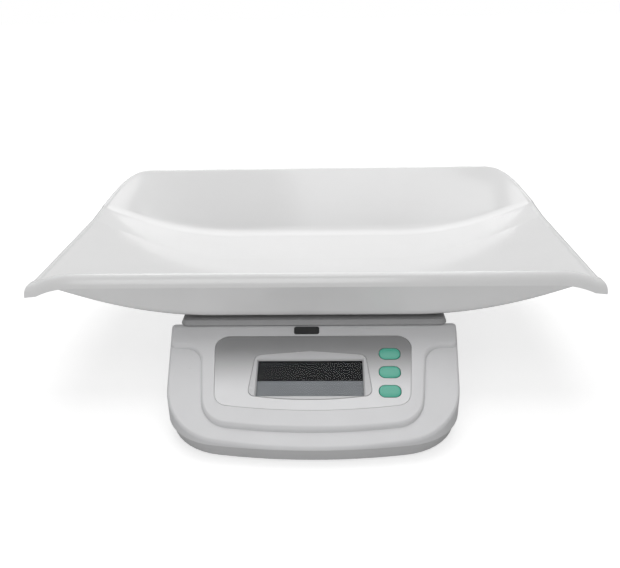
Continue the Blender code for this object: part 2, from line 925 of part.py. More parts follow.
def make_bracket(post_top, screw_head_low):
    top = ceiling - bracket_headroom
    low = top - bracket_thickness
    shape = h_shape(
        pad_spacing_x, pad_spacing_y, bracket_arm_width, bracket_bar_width, load_y, bracket_corner
    )
    bracket = prism("platform_bracket", shape, low, top, aluminium)
    rim = prism("bracket_rim", shape, low - bracket_flange_height, low + bracket_thickness / 2)
    cut(rim, prism(
        "bracket_rim_inside", inset(shape, bracket_flange_width), low - bracket_flange_height - cut_overrun,
        low + bracket_thickness,
    ))
    posts = cylinders("bracket_posts", post_places, post_radius, top - bracket_thickness / 2, post_top)
    holes = cylinders(
        "bracket_post_holes", post_places, cover_screw_radius + seat_gap,
        screw_head_low - cover_screw_length - slide_gap, post_top + cut_overrun, sides=small_sides,
    )
    seats = cylinders(
        "bracket_cell_holes", cell_screw_places(1), cell_screw_radius + seat_gap, low - cut_overrun,
        top + cut_overrun, sides=small_sides,
    )
    join(bracket, rim, posts)
    cut(bracket, holes, seats)
    return low, top


def cell_screw_places(end):
    """The two screws at the load cell's fixed end (-1) or free end (1)."""
    first = cell_length / 2 - cell_screw_inset
    return [(end * first, load_y), (end * (first - cell_screw_spacing), load_y)]


# Load cell and what holds it

def make_load_cell(bracket_low, bracket_top):
    spacer_top = bracket_low - seat_gap
    top = spacer_top - spacer_height - bracket_flange_height - seat_gap
    low = top - cell_height
    half_x, half_y = cell_length / 2, cell_width / 2
    cell = block(
        "load_cell", (-half_x, load_y - half_y, low), (half_x, load_y + half_y, top), aluminium
    )
    round_edges(cell, cell_height / 30, 1)
    across = Matrix.Translation((0, load_y, (low + top) / 2)) @ Matrix.Rotation(math.pi / 2, 4, "X")
    eyes = cylinders(
        "cell_eyes", [(-cell_eye_spacing / 2, 0), (cell_eye_spacing / 2, 0)], cell_eye_radius, -cell_width,
        cell_width, where=across,
    )
    slot = block(
        "cell_slot", (-cell_eye_spacing / 2, -cell_slot_height / 2, -cell_width),
        (cell_eye_spacing / 2, cell_slot_height / 2, cell_width), where=across,
    )
    free_holes = cylinders(
        "cell_free_holes", cell_screw_places(1), cell_screw_radius + seat_gap,
        top - cell_screw_grip - slide_gap, top + cut_overrun, sides=small_sides,
    )
    fixed_holes = cylinders(
        "cell_fixed_holes", cell_screw_places(-1), cell_screw_radius + seat_gap, low - cut_overrun,
        low + cell_screw_grip + slide_gap, sides=small_sides,
    )
    cut(cell, eyes, slot, free_holes, fixed_holes)

    inner = half_x - spacer_length
    spacer = block(
        "bracket_spacer", (inner, load_y - half_y, top + seat_gap), (half_x, load_y + half_y, spacer_top),
        aluminium,
    )
    cut(spacer, cylinders(
        "spacer_holes", cell_screw_places(1), cell_screw_radius + seat_gap, top - cut_overrun,
        bracket_top, sides=small_sides,
    ))
    for i, (x, y) in enumerate(cell_screw_places(1)):
        bolt(f"bracket_screw_{i + 1}", x, y, bracket_top + seat_gap, top - cell_screw_grip, 1)

    plate_top = chassis_low + chassis_thickness
    pedestal = block(
        "load_cell_pedestal", (-half_x, load_y - half_y, plate_top + seat_gap),
        (-inner, load_y + half_y, low - seat_gap), aluminium,
    )
    round_edges(pedestal, cell_height / 20, 1)
    cut(pedestal, cylinders(
        "pedestal_holes", cell_screw_places(-1), cell_screw_radius + seat_gap, chassis_low, low + cut_overrun,
        sides=small_sides,
    ))
    for i, (x, y) in enumerate(cell_screw_places(-1)):
        bolt(f"pedestal_screw_{i + 1}", x, y, chassis_low - seat_gap, low + cell_screw_grip, -1)

    stop_profile = [
        (0, low - overload_gap),
        (overload_stud_radius, low - overload_gap),
        (overload_stud_radius, plate_top + overload_flange_height),
        (overload_flange_radius, plate_top + overload_flange_height),
        (overload_flange_radius, plate_top + seat_gap),
        (0, plate_top + seat_gap),
    ]
    stop_x = half_x - spacer_length / 2
    smooth(turned("overload_stop", stop_profile, steel, Matrix.Translation((stop_x, load_y, 0))))
    return low, top


def bolt(name, x, y, seat, tip, way):
    """A cap screw: its head sits on the seat, above it (way 1) or under it (way -1), and its shank ends at tip."""
    head = seat + way * cell_screw_head_height
    profile = [
        (0, head),
        (cell_screw_head_radius * 0.85, head),
        (cell_screw_head_radius, head - way * cell_screw_head_height * 0.2),
        (cell_screw_head_radius, seat),
        (cell_screw_radius, seat),
        (cell_screw_radius, tip),
        (0, tip),
    ]
    if way < 0:
        profile.reverse()
    smooth(turned(name, profile, steel, Matrix.Translation((x, y, 0))))


def make_chassis():
    plate_top = chassis_low + chassis_thickness
    half_x, half_y = chassis_width / 2, chassis_depth / 2
    shape = rectangle(-half_x, load_y - half_y, half_x, load_y + half_y, chassis_corner)
    plate = prism("chassis_plate", shape, chassis_low, plate_top, steel)
    for side in (-1, 1):
        edge = load_y + side * half_y
        inner = edge - side * chassis_thickness
        low_y, high_y = min(edge, inner), max(edge, inner)
        reach = half_x - chassis_corner
        join(plate, block(
            f"chassis_flange_{side + 2}", (-reach, low_y, chassis_low + chassis_thickness / 2),
            (reach, high_y, plate_top + chassis_flange),
        ))
    cut(plate, cylinders(
        "chassis_holes", chassis_places, chassis_screw_radius + seat_gap, chassis_low - cut_overrun, plate_top + cut_overrun,
        sides=small_sides,
    ))
    cut(plate, cylinders(
        "pedestal_plate_holes", cell_screw_places(-1), cell_screw_radius + seat_gap, chassis_low - cut_overrun,
        plate_top + cut_overrun, sides=small_sides,
    ))
    for i, (x, y) in enumerate(chassis_places):
        pan_screw(
            f"chassis_screw_{i + 1}", Matrix.Translation((x, y, plate_top + seat_gap)), chassis_screw_radius,
            chassis_screw_head_radius, chassis_screw_head_height, chassis_screw_length,
        )


def pan_screw(name, where, radius, head_radius, head_height, length):
    """A small screw whose head sits at its frame's origin and whose shank runs down."""
    profile = [
        (0, head_height),
        (head_radius * 0.6, head_height),
        (head_radius, head_height * 0.5),
        (head_radius, 0),
        (radius, 0),
        (radius, -length),
        (0, -length),
    ]
    return smooth(turned(name, profile, steel, where))


# Upper housing

def panel_shape(fit):
    """The recessed panel on the slope: its sides lean in and its lower edge bows out."""
    lean = math.tan(panel_taper_angle)
    bow = math.tan(panel_bow_angle)
    middle = panel_bottom + panel_bow_radius * (1 / math.cos(panel_bow_angle) - 1)
    x = (panel_top_width / 2 - lean * (middle - panel_top)) / (1 - lean * bow)
    half = [
        (0, -middle, panel_bow_radius),
        (x, -middle + x * bow, panel_bottom_corner),
        (panel_top_width / 2, -panel_top, panel_top_corner),
    ]
    return inset(mirrored(half), fit)


def bow(half_width, rise, corner):
    """A bowed edge's radius, and how far its peak lies inside its middle corner, from its rise at the sides."""
    slant = math.atan(rise / half_width)
    radius = (half_width - corner) / math.tan(slant)
    return radius, radius * (1 / math.cos(slant) - 1)


def bezel_shape():
    """The display's raised frame, bowed at the top and the bottom."""
    half_window = (window_right - window_left) / 2
    top_x, low_x = half_window + bezel_top_side, half_window + bezel_bottom_side
    top_radius, top_peak = bow(top_x, bezel_top_rise, bezel_corner)
    low_radius, low_peak = bow(low_x, bezel_bottom_rise, bezel_corner)
    high, low = bezel_top - top_peak, bezel_bottom + low_peak
    half = [
        (0, -low, low_radius),
        (low_x, -low + bezel_bottom_rise, bezel_corner),
        (top_x, -high - bezel_top_rise, bezel_corner),
        (0, -high, top_radius),
    ]
    return [(x + window_middle, y, radius) for x, y, radius in mirrored(half)]


def window_shape(margin):
    return rectangle(
        window_left - margin, -window_bottom - margin, window_right + margin, -window_top + margin, 0
    )


def key_shapes(margin):
    width, height = key_width + 2 * margin, key_height + 2 * margin
    return [oval(width, height, x, y) for x, y in key_places]


def board_places():
    left, right = board_left + board_post_inset, board_right - board_post_inset
    high, low = -board_top - board_post_inset, -board_bottom + board_post_inset
    return [(left, low), (right, low), (right, high), (left, high)]


def make_upper_housing():
    deep = -cut_overrun
    upper = under_slope("upper_housing", base_shape(), deep, crown_drop, housing_grey)
    round_edges(upper, apron_edge)
    crown = under_slope("crown", crown_shape(), parting_height / 2, 0)
    round_edges(crown, crown_edge, 3)
    join(upper, crown)
    hollow = under_slope("housing_hollow", inset(base_shape(), housing_wall), 2 * deep, crown_drop + wall_drop)
    crown_hollow = under_slope("crown_hollow", inset(crown_shape(), housing_wall), deep, wall_drop)
    join(hollow, crown_hollow)
    half, front, rear = base_width, base_front - base_depth, base_rear + base_depth
    below = block("below_parting", (-half, front, 3 * deep), (half, rear, parting_height))
    cut(upper, hollow, below)

    recess = prism(
        "panel_recess", panel_shape(0), -panel_thickness - seat_gap, crown_rise, None, panel_frame
    )
    opening = prism(
        "display_opening", window_shape(window_overlap + seat_gap), -2 * housing_wall, crown_rise, None,
        panel_frame,
    )
    cut(upper, recess, opening)
    for name, shape in zip(key_names, key_shapes(slide_gap)):
        cut(upper, prism(name + "_opening", shape, -2 * housing_wall, crown_rise, None, panel_frame))
    cut(upper, cylinders(
        "post_openings", post_places, post_radius + post_hole_clearance, ceiling - cut_overrun,
        base_height + cut_overrun,
    ))

    post_radius_outer = housing_screw_radius + housing_post_wall
    top_at_front = base_height - crown_drop - (knee_y - screw_places[0][1]) * math.tan(slope_angle)
    front_posts = cylinders(
        "front_posts", screw_places[:2], post_radius_outer, parting_height, top_at_front - wall_drop / 2,
    )
    rear_posts = cylinders(
        "rear_posts", screw_places[2:], post_radius_outer, parting_height, base_height - wall_drop / 2,
    )
    pilot = cylinders(
        "pilot_holes", screw_places, housing_screw_radius + seat_gap, parting_height - cut_overrun,
        base_ground_gap + housing_screw_seat + housing_screw_length + cut_overrun, sides=small_sides,
    )
    board_posts = cylinders(
        "board_posts", board_places(), board_post_radius, -board_depth + seat_gap, -housing_wall / 2 - panel_thickness,
        where=panel_frame, sides=small_sides,
    )
    head_top = -board_depth - board_thickness - seat_gap
    board_stakes = cylinders(
        "board_stakes", board_places(), board_stake_radius, head_top - board_stake_head_height / 2,
        -board_depth / 2, where=panel_frame, sides=small_sides,
    )
    stake_heads = cylinders(
        "stake_heads", board_places(), board_stake_head_radius, head_top - board_stake_head_height, head_top,
        where=panel_frame, sides=small_sides,
    )
    join(board_posts, board_stakes, stake_heads)
    join(upper, front_posts, rear_posts, board_posts)
    cut(upper, pilot)
    smooth(upper, math.radians(30))


# Lower housing with its feet, screw bosses and battery box

def battery_box():
    """Lowest and highest corner of the space that the batteries and their contacts fill."""
    room = contact_thickness + seat_gap
    half_x = battery_length / 2 + contact_spring_height + room
    pitch = 2 * battery_radius + seat_gap
    half_y = cell_count * pitch / 2 + seat_gap / 2
    middle = base_front + battery_setback + half_y
    low = base_ground_gap + door_thickness + seat_gap
    high = low + 2 * battery_radius + 2 * seat_gap
    return (-half_x, middle - half_y, low), (half_x, middle + half_y, high)


def make_lower_housing():
    top = parting_height - seat_gap
    upper_edge = inset(base_shape(), lower_inset)
    lower_edge = [
        (x, y, radius + lower_corner_extra) for x, y, radius in inset(base_shape(), lower_bottom_inset)
    ]
    lower = loft("lower_housing", [(lower_edge, base_ground_gap), (upper_edge, top)], lower_grey)
    round_edges(lower, lower_bottom_edge, 2, math.radians(50))
    hollow = loft("lower_hollow", [
        (inset(lower_edge, lower_wall), lower_floor), (inset(upper_edge, lower_wall), top + cut_overrun),
    ])
    cut(lower, hollow)

    foot_bosses = cylinders(
        "foot_bosses", foot_places, foot_radius + foot_boss_wall, base_ground_gap + lower_wall / 2,
        base_ground_gap + foot_sink + foot_boss_wall,
    )
    head_wall = housing_screw_head_radius + seat_gap + housing_post_wall
    screw_bosses = cylinders(
        "screw_bosses", screw_places, head_wall, base_ground_gap + lower_wall / 2, top, sides=round_sides
    )
    chassis_posts = cylinders(
        "chassis_posts", chassis_places, chassis_post_radius, base_ground_gap + lower_wall / 2,
        chassis_low - seat_gap, sides=small_sides,
    )
    box_low, box_high = battery_box()
    wall = battery_box_wall
    box = block(
        "battery_walls", (box_low[0] - wall, box_low[1] - wall, base_ground_gap + lower_wall / 2),
        (box_high[0] + wall, box_high[1] + wall, box_high[2] + wall),
    )
    ledge = door_ledge + seat_gap
    pocket_low = (box_low[0] - ledge, box_low[1] - ledge - door_travel)
    pocket_high = (box_high[0] + ledge, box_high[1] + ledge)
    rim = door_rim + door_hook_reach
    pocket_top = base_ground_gap + door_thickness + seat_gap
    thick_floor = block(
        "door_floor", (pocket_low[0] - rim, pocket_low[1] - door_rim, base_ground_gap + lower_wall / 2),
        (pocket_high[0] + rim, pocket_high[1] + door_rim, pocket_top + door_floor),
    )
    join(lower, foot_bosses, screw_bosses, chassis_posts, thick_floor, box)

    foot_holes = cylinders(
        "foot_recesses", foot_places, foot_radius + seat_gap, base_ground_gap - cut_overrun,
        base_ground_gap + foot_sink,
    )
    head_holes = cylinders(
        "head_holes", screw_places, housing_screw_head_radius + seat_gap, base_ground_gap - cut_overrun,
        base_ground_gap + housing_screw_seat, sides=round_sides,
    )
    shank_holes = cylinders(
        "shank_holes", screw_places, housing_screw_radius + seat_gap, base_ground_gap, top + cut_overrun,
        sides=small_sides,
    )
    chassis_pilots = cylinders(
        "chassis_pilots", chassis_places, chassis_screw_radius + seat_gap,
        chassis_low + chassis_thickness - chassis_screw_length, chassis_low + cut_overrun, sides=small_sides,
    )
    cavity = block(
        "battery_cavity", (box_low[0], box_low[1], base_ground_gap - cut_overrun), box_high
    )
    pocket = block("door_pocket", (*pocket_low, base_ground_gap - cut_overrun), (*pocket_high, pocket_top))
    cut(lower, foot_holes, head_holes, shank_holes, chassis_pilots, cavity, pocket)
    for i, (low, high) in enumerate(door_hooks(box_low, box_high)):
        track_low = (low[0] - seat_gap, low[1] - door_travel - seat_gap, low[2] - seat_gap)
        track_high = (high[0] + seat_gap, high[1] + seat_gap, pocket_top)
        cut(lower, block(f"hook_track_{i + 1}", track_low, track_high))
        drop_low = (track_low[0], track_low[1], base_ground_gap - cut_overrun)
        drop_high = (track_high[0], track_low[1] + door_hook_length + 2 * seat_gap, pocket_top)
        cut(lower, block(f"hook_exit_{i + 1}", drop_low, drop_high))
    smooth(lower, math.radians(35))

    for i, (x, y) in enumerate(foot_places):
        top_of_foot = base_ground_gap + foot_sink - seat_gap
        profile = [
            (0, top_of_foot),
            (foot_radius, top_of_foot),
            (foot_radius, foot_edge),
            (foot_radius - foot_edge, 0),
            (0, 0),
        ]
        smooth(turned(f"foot_{i + 1}", profile, rubber_black, Matrix.Translation((x, y, 0)), round_sides))
    for i, (x, y) in enumerate(screw_places):
        seat = base_ground_gap + housing_screw_seat - seat_gap
        upside_down = Matrix.Translation((x, y, seat)) @ Matrix.Rotation(math.pi, 4, "X")
        pan_screw(
            f"housing_screw_{i + 1}", upside_down, housing_screw_radius, housing_screw_head_radius,
            housing_screw_head_height, housing_screw_length,
        )
    return box_low, box_high


def door_hooks(box_low, box_high):
    """Lowest and highest corners of the door's four side hooks."""
    hooks = []
    bottom = base_ground_gap + door_thickness - door_hook_thickness
    top = base_ground_gap + door_thickness
    length = box_high[1] - box_low[1]
    for side in (-1, 1):
        edge = side * (box_high[0] + door_ledge)
        tip = edge + side * door_hook_reach
        for share in (0.12, 0.62):
            start = box_low[1] + length * share
            hooks.append((
                (min(edge, tip), start, bottom), (max(edge, tip), start + door_hook_length, top),
            ))
    return hooks


def make_door(box_low, box_high):
    low = (box_low[0] - door_ledge, box_low[1] - door_ledge, base_ground_gap)
    high = (box_high[0] + door_ledge, box_high[1] + door_ledge, base_ground_gap + door_thickness)
    door = block("battery_door", low, high, lower_grey)
    for i, (hook_low, hook_high) in enumerate(door_hooks(box_low, box_high)):
        inwards = door_ledge / 2
        wide_low = (hook_low[0] - inwards, hook_low[1], hook_low[2])
        wide_high = (hook_high[0] + inwards, hook_high[1], hook_high[2])
        if hook_low[0] > 0:
            wide_high = hook_high
        else:
            wide_low = hook_low
        join(door, block(f"door_hook_{i + 1}", wide_low, wide_high))
    for i in range(door_grips):
        start = low[1] + door_rim + i * 2 * door_grip_width
        reach = (high[0] - low[0]) / 6
        cut(door, block(
            f"door_grip_{i + 1}", (-reach, start, base_ground_gap - cut_overrun),
            (reach, start + door_grip_width, base_ground_gap + door_grip_depth),
        ))


def make_batteries(box_low, box_high):
    pitch = 2 * battery_radius + seat_gap
    height = box_low[2] + seat_gap + battery_radius
    for i in range(cell_count):
        y = box_low[1] + seat_gap + battery_radius + i * pitch
        way = 1 if i % 2 == 0 else -1
        half = battery_length / 2
        profile = [
            (0, half),
            (battery_nub_radius, half),
            (battery_nub_radius, half - battery_nub_height),
            (battery_radius * 0.93, half - battery_nub_height),
            (battery_radius, half - battery_nub_height - battery_radius * 0.07),
            (battery_radius, -half + battery_radius * 0.07),
            (battery_radius * 0.93, -half),
            (0, -half),
        ]
        lying = Matrix.Translation((0, y, height)) @ Matrix.Rotation(way * math.pi / 2, 4, "Y")
        smooth(turned(f"battery_{i + 1}", profile, battery_blue, lying, round_sides - 4))
    for side, name in ((-1, "battery_contact_left"), (1, "battery_contact_right")):
        face = box_high[0] - seat_gap
        plate_x = (side * face, side * (face - contact_thickness))
        margin = seat_gap + battery_radius / 3
        plate = block(
            name, (min(plate_x), box_low[1] + margin, height - battery_radius / 2),
            (max(plate_x), box_high[1] - margin, height + battery_radius / 2), nickel,
        )
        for i in range(cell_count):
            y = box_low[1] + seat_gap + battery_radius + i * pitch
            nub_side = 1 if i % 2 == 0 else -1
            reach = contact_bump_height if side == nub_side else contact_spring_height - seat_gap
            start = face - contact_thickness / 2
            tip = face - contact_thickness - reach
            wide = contact_spring_radius if side != nub_side else contact_spring_radius / 2
            bm = bmesh.new()
            depth = start - tip
            at = Matrix.Translation((side * (start + tip) / 2, y, height)) @ Matrix.Rotation(
                -side * math.pi / 2, 4, "Y"
            )
            bmesh.ops.create_cone(
                bm, cap_ends=True, segments=small_sides, radius1=min(wide, battery_radius / 2.2),
                radius2=wide / 2, depth=depth, matrix=at,
            )
            bump = f"{name}_bump_{i + 1}"
            join(plate, add(bump, finished(bm, bump)))


# Display, board and keys, in the panel's frame

def make_display():
    overlay = prism(
        "display_overlay", panel_shape(panel_fit), -panel_thickness, 0, panel_grey, panel_frame
    )
    cut(overlay, prism(
        "overlay_display_hole", inset(bezel_shape(), -panel_fit), -crown_rise, crown_rise, None, panel_frame
    ))
    for name, shape in zip(key_names, key_shapes(slide_gap)):
        cut(overlay, prism(name + "_overlay_hole", shape, -crown_rise, crown_rise, None, panel_frame))

    bezel = prism("display_bezel", bezel_shape(), -panel_thickness, bezel_proud, bezel_grey, panel_frame)
    round_edges(bezel, bezel_edge, 1)
    cut(bezel, prism("bezel_window", window_shape(0), -crown_rise, crown_rise, None, panel_frame))

    window_back = -panel_thickness - seat_gap
    prism(
        "display_window", window_shape(window_overlap), window_back - window_thickness, window_back, window_clear,
        panel_frame,
    )
    glass_front = window_back - window_thickness - seat_gap
    glass_back = glass_front - glass_thickness
    prism("display_glass", window_shape(window_overlap / 2), glass_back, glass_front, glass_grey, panel_frame)
    holder_front = glass_back - seat_gap
    holder_back = -board_depth + seat_gap
    holder = prism(
        "display_holder", window_shape(holder_margin), holder_back, holder_front, inner_white, panel_frame
    )
    cut(holder, prism(
        "holder_pocket", window_shape(holder_margin - holder_wall), holder_front - holder_pocket,
        holder_front + cut_overrun, None, panel_frame,
    ))

    back = -board_depth - board_thickness
    board = prism(
        "circuit_board", rectangle(board_left, -board_bottom, board_right, -board_top, 0), back, -board_depth,
        board_green, panel_frame,
    )
    cut(board, cylinders(
        "board_holes", board_places(), board_stake_radius + seat_gap, back - cut_overrun,
        -board_depth + cut_overrun, where=panel_frame, sides=small_sides,
    ))
    chip_back = back - seat_gap - chip_thickness
    half = chip_size / 2
    chip_y = -(board_top + board_bottom) / 2
    prism(
        "processor", rectangle(window_middle - half, chip_y - half, window_middle + half, chip_y + half, 0),
        chip_back, back - seat_gap, chip_black, panel_frame,
    )
    half_x, half_y = connector_width / 2, connector_depth / 2
    x, y = connector_place
    prism(
        "lead_connector", rectangle(x - half_x, y - half_y, x + half_x, y + half_y, 0),
        back - seat_gap - connector_height, back - seat_gap, inner_white, panel_frame,
    )


def make_keys():
    inner_face = -housing_wall
    flange_top = inner_face - seat_gap
    flange_low = flange_top - key_flange_thickness
    switch_foot = -board_depth + seat_gap
    plunger_top = switch_foot + switch_height + switch_plunger_height
    stem_end = plunger_top + key_travel + seat_gap
    caps = key_shapes(0)
    flanges = key_shapes(key_flange)
    for name, cap, flange, (x, y) in zip(key_names, caps, flanges, key_places):
        key = prism(name, cap, flange_low + key_flange_thickness / 2, key_proud, key_teal, panel_frame)
        round_edges(key, key_edge, 2, math.radians(60))
        join(key, prism(name + "_flange", flange, flange_low, flange_top, None, panel_frame))
        stem = cylinders(
            name + "_stem", [(x, y)], key_stem_radius, stem_end, flange_low + key_flange_thickness / 2,
            where=panel_frame, sides=small_sides,
        )
        join(key, stem)
        smooth(key, math.radians(40))
        half = switch_size / 2
        switch = prism(
            name.replace("key", "switch"), rectangle(x - half, y - half, x + half, y + half, 0),
            switch_foot, switch_foot + switch_height, chip_black, panel_frame,
        )
        join(switch, cylinders(
            name + "_plunger", [(x, y)], switch_plunger_radius, switch_foot + switch_height / 2, plunger_top,
            where=panel_frame, sides=small_sides,
        ))


def make_lead(cell_low, cell_top):
    """The load cell's lead, from the side of the cell forward to its connector under the board."""
    start = Vector((-cell_eye_spacing, load_y - cell_width / 2 - seat_gap, (cell_low + cell_top) / 2))
    under_board = -board_depth - board_thickness - connector_height - 2 * seat_gap
    end = panel_frame @ Vector((*connector_place, under_board))
    away = (panel_frame.to_3x3() @ Vector((0, 0, -1))) * (end - start).length * 0.15
    out = Vector((0, start.y - end.y, 0)) * -0.6
    count = 14
    curve = bpy.data.curves.new("lead_path", "CURVE")
    curve.dimensions = "3D"
    curve.bevel_depth = lead_radius
    curve.bevel_resolution = 1
    curve.use_fill_caps = True
    line = curve.splines.new("POLY")
    line.points.add(count - 1)
    for i in range(count):
        t = i / (count - 1)
        place = (
            start * (1 - t) ** 3 + (start + out) * 3 * t * (1 - t) ** 2
            + (end + away) * 3 * t**2 * (1 - t) + end * t**3
        )
        line.points[i].co = (*place, 1)
    smooth(add("load_cell_lead", mesh_of("load_cell_lead", curve), lead_grey))


def carry(name, place, *pieces):
    """An empty on a joint's axis, with the pieces that move together as its children."""
    empty = bpy.data.objects.new(name, None)
    empty.location = place
    parts.objects.link(empty)
    for piece in pieces:
        moving = parts.objects[piece]
        moving.parent = empty
        moving.matrix_parent_inverse = Matrix.Translation(place).inverted()


make_tray()
bracket_post_top, cover_screw_seat_height = make_platform()
bracket_low, bracket_top = make_bracket(bracket_post_top, cover_screw_seat_height)
cell_low, cell_top = make_load_cell(bracket_low, bracket_top)
make_chassis()
make_upper_housing()
box_low, box_high = make_lower_housing()
make_door(box_low, box_high)
make_batteries(box_low, box_high)
make_display()
make_keys()
make_lead(cell_low, cell_top)

tray_seat = (0, load_y, platform_top + pad_proud)
carry("tray_lift", tray_seat, "tray")
carry(
    "platform_travel", (0, load_y, platform_bottom), "platform_cover", "platform_bracket", "bracket_spacer",
    *[f"tray_pad_{i + 1}" for i in range(len(post_places))],
    *[f"cover_screw_{i + 1}" for i in range(len(post_places))],
    *[f"bracket_screw_{i + 1}" for i in range(len(cell_screw_places(1)))],
)
carry("battery_door_slide", (0, (box_low[1] + box_high[1]) / 2, base_ground_gap), "battery_door")
for key, (x, y) in zip(key_names, key_places):
    carry(key + "_press", panel_frame @ Vector((x, y, 0)), key)
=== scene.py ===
import math

import bmesh
import bpy
from mathutils import Matrix, Vector


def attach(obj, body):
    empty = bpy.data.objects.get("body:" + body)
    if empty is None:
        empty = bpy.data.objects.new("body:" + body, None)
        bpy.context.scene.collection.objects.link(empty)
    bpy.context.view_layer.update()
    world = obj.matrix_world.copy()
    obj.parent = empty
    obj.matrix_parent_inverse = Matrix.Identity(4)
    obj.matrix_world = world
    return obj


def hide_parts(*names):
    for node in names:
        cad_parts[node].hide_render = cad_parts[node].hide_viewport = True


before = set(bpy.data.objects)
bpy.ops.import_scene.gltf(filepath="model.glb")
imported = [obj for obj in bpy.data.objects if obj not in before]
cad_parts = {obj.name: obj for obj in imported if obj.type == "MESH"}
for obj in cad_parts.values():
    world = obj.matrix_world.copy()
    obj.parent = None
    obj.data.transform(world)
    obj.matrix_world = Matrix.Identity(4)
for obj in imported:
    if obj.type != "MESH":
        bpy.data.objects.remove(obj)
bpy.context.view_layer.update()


# Lower housing. The darker grey bottom half of the base, one injection moulding in ABS with a slight draft.
# Its rim meets the upper housing at the parting line. It carries the feet, the screw bosses, the posts of the
# chassis plate and the battery box.

base_front, knee_y, base_rear = -0.1994, -0.0787, 0.124
half_base, half_rear = 0.143, 0.1305
taper_start, taper = -0.077, math.tan(math.radians(5.6))
seat_gap = 0.0003
parting_height = 0.0165
ground_gap, lower_wall = 0.003, 0.0025


def side_x(y):
    """Half the width of the base in front of the platform, where it narrows towards the front."""
    return half_base - (taper_start - y) * taper


def mirrored(half):
    """The corners (x, y, radius) of a whole outline from its right half, starting at the front's middle."""
    return half + [(-x, y, radius) for x, y, radius in reversed(half) if x != 0]


def inset(corners, distance):
    """The outline with each side moved inwards and each round kept concentric."""
    moved = []
    for i, (x, y, radius) in enumerate(corners):
        here = Vector((x, y))
        before = (here - Vector(corners[i - 1][:2])).normalized()
        after = (Vector(corners[(i + 1) % len(corners)][:2]) - here).normalized()
        in_before, in_after = Vector((-before.y, before.x)), Vector((-after.y, after.x))
        turn = before.x * after.y - before.y * after.x
        corner = here + (in_before + in_after) * distance / (1 + in_before.dot(in_after))
        moved.append((corner.x, corner.y, max(radius - distance * math.copysign(1, turn), 0)))
    return moved


def rounded(corners, step=7, bow_step=1.4):
    """The points of an outline whose corners are rounded, a round every few degrees."""
    places = [Vector((x, y)) for x, y, radius in corners]
    count = len(places)
    wanted = []
    for i in range(count):
        opening = (places[i - 1] - places[i]).angle(places[(i + 1) % count] - places[i])
        wanted.append(corners[i][2] / math.tan(opening / 2))
    points = []
    for i in range(count):
        last, following = (i - 1) % count, (i + 1) % count
        back, ahead = places[last] - places[i], places[following] - places[i]
        opening = back.angle(ahead)
        if corners[i][2] == 0:
            points.append((places[i].x, places[i].y))
            continue
        reach = 0.96 * min(
            back.length * wanted[i] / max(wanted[i] + wanted[last], 1e-12),
            ahead.length * wanted[i] / max(wanted[i] + wanted[following], 1e-12),
        )
        along = min(wanted[i], reach)
        radius = along * math.tan(opening / 2)
        middle = (back.normalized() + ahead.normalized()).normalized()
        centre = places[i] + middle * radius / math.sin(opening / 2)
        first = places[i] + back.normalized() * along - centre
        sweep = first.angle_signed(places[i] + ahead.normalized() * along - centre)
        turn = math.degrees(math.pi - opening)
        pieces = 2 * max(1, round(turn / (bow_step if turn < 20 else step) / 2))
        for k in range(pieces + 1):
            angle = -sweep * k / pieces
            points.append((
                centre.x + first.x * math.cos(angle) - first.y * math.sin(angle),
                centre.y + first.x * math.sin(angle) + first.y * math.cos(angle),
            ))
    return points


def bowed_front(front, bow_radius, bow_angle, start_x, start_y, lean):
    """The middle corner of a bowed front edge, and where the bow meets a side that leans in."""
    rise = math.tan(bow_angle)
    middle_y = front - bow_radius * (1 / math.cos(bow_angle) - 1)
    x = (start_x - lean * (start_y - middle_y)) / (1 - lean * rise)
    return middle_y, x, middle_y + x * rise


def rear_corners(step):
    """The corners behind the knee, where the sides step in under the platform."""
    step_y = knee_y + 0.0072 - step
    rear_x = half_rear - step
    edge_round, inner_round, rear_round = 0.0050, 0.0020, 0.025
    return [
        (side_x(step_y) - step, step_y, edge_round - step),
        (rear_x, step_y, inner_round + step),
        (rear_x, base_rear - step, rear_round - step),
    ]


def base_outline():
    """The base seen from above: a bowed front, leaning sides and a narrower rear under the platform."""
    front_bow, front_corner = 0.540, 0.058
    middle_y, x, y = bowed_front(base_front, front_bow, math.radians(8.8), half_base, taper_start, taper)
    return mirrored([(0, middle_y, front_bow), (x, y, front_corner), *rear_corners(0)])


def only(piece):
    """Selects the piece alone and makes it the active one."""
    bpy.ops.object.select_all(action="DESELECT")
    piece.select_set(True)
    bpy.context.view_layer.objects.active = piece


def change(piece, kind, **settings):
    """Adds a modifier to the piece and applies it."""
    only(piece)
    made = piece.modifiers.new(kind.lower(), kind)
    for name, value in settings.items():
        setattr(made, name, value)
    bpy.ops.object.modifier_apply(modifier=made.name)
    return piece


def merge(piece, tool, operation="UNION"):
    change(piece, "BOOLEAN", object=tool, operation=operation, solver="EXACT")
    bpy.data.objects.remove(tool)
    return piece


def cut(piece, *tools):
    for tool in tools:
        merge(piece, tool, "DIFFERENCE")
    return piece


def drawn(ring, faces=True):
    """Extrudes the selected cap or rim in place and gives the new vertices in the ring's order."""
    if faces:
        bpy.ops.mesh.extrude_region_move()
    else:
        bpy.ops.mesh.extrude_edges_move()
    old = set(ring)
    new = []
    for vertex in ring:
        others = [edge.other_vert(vertex) for edge in vertex.link_edges]
        new.append(next(other for other in others if other not in old and other.select))
    return new


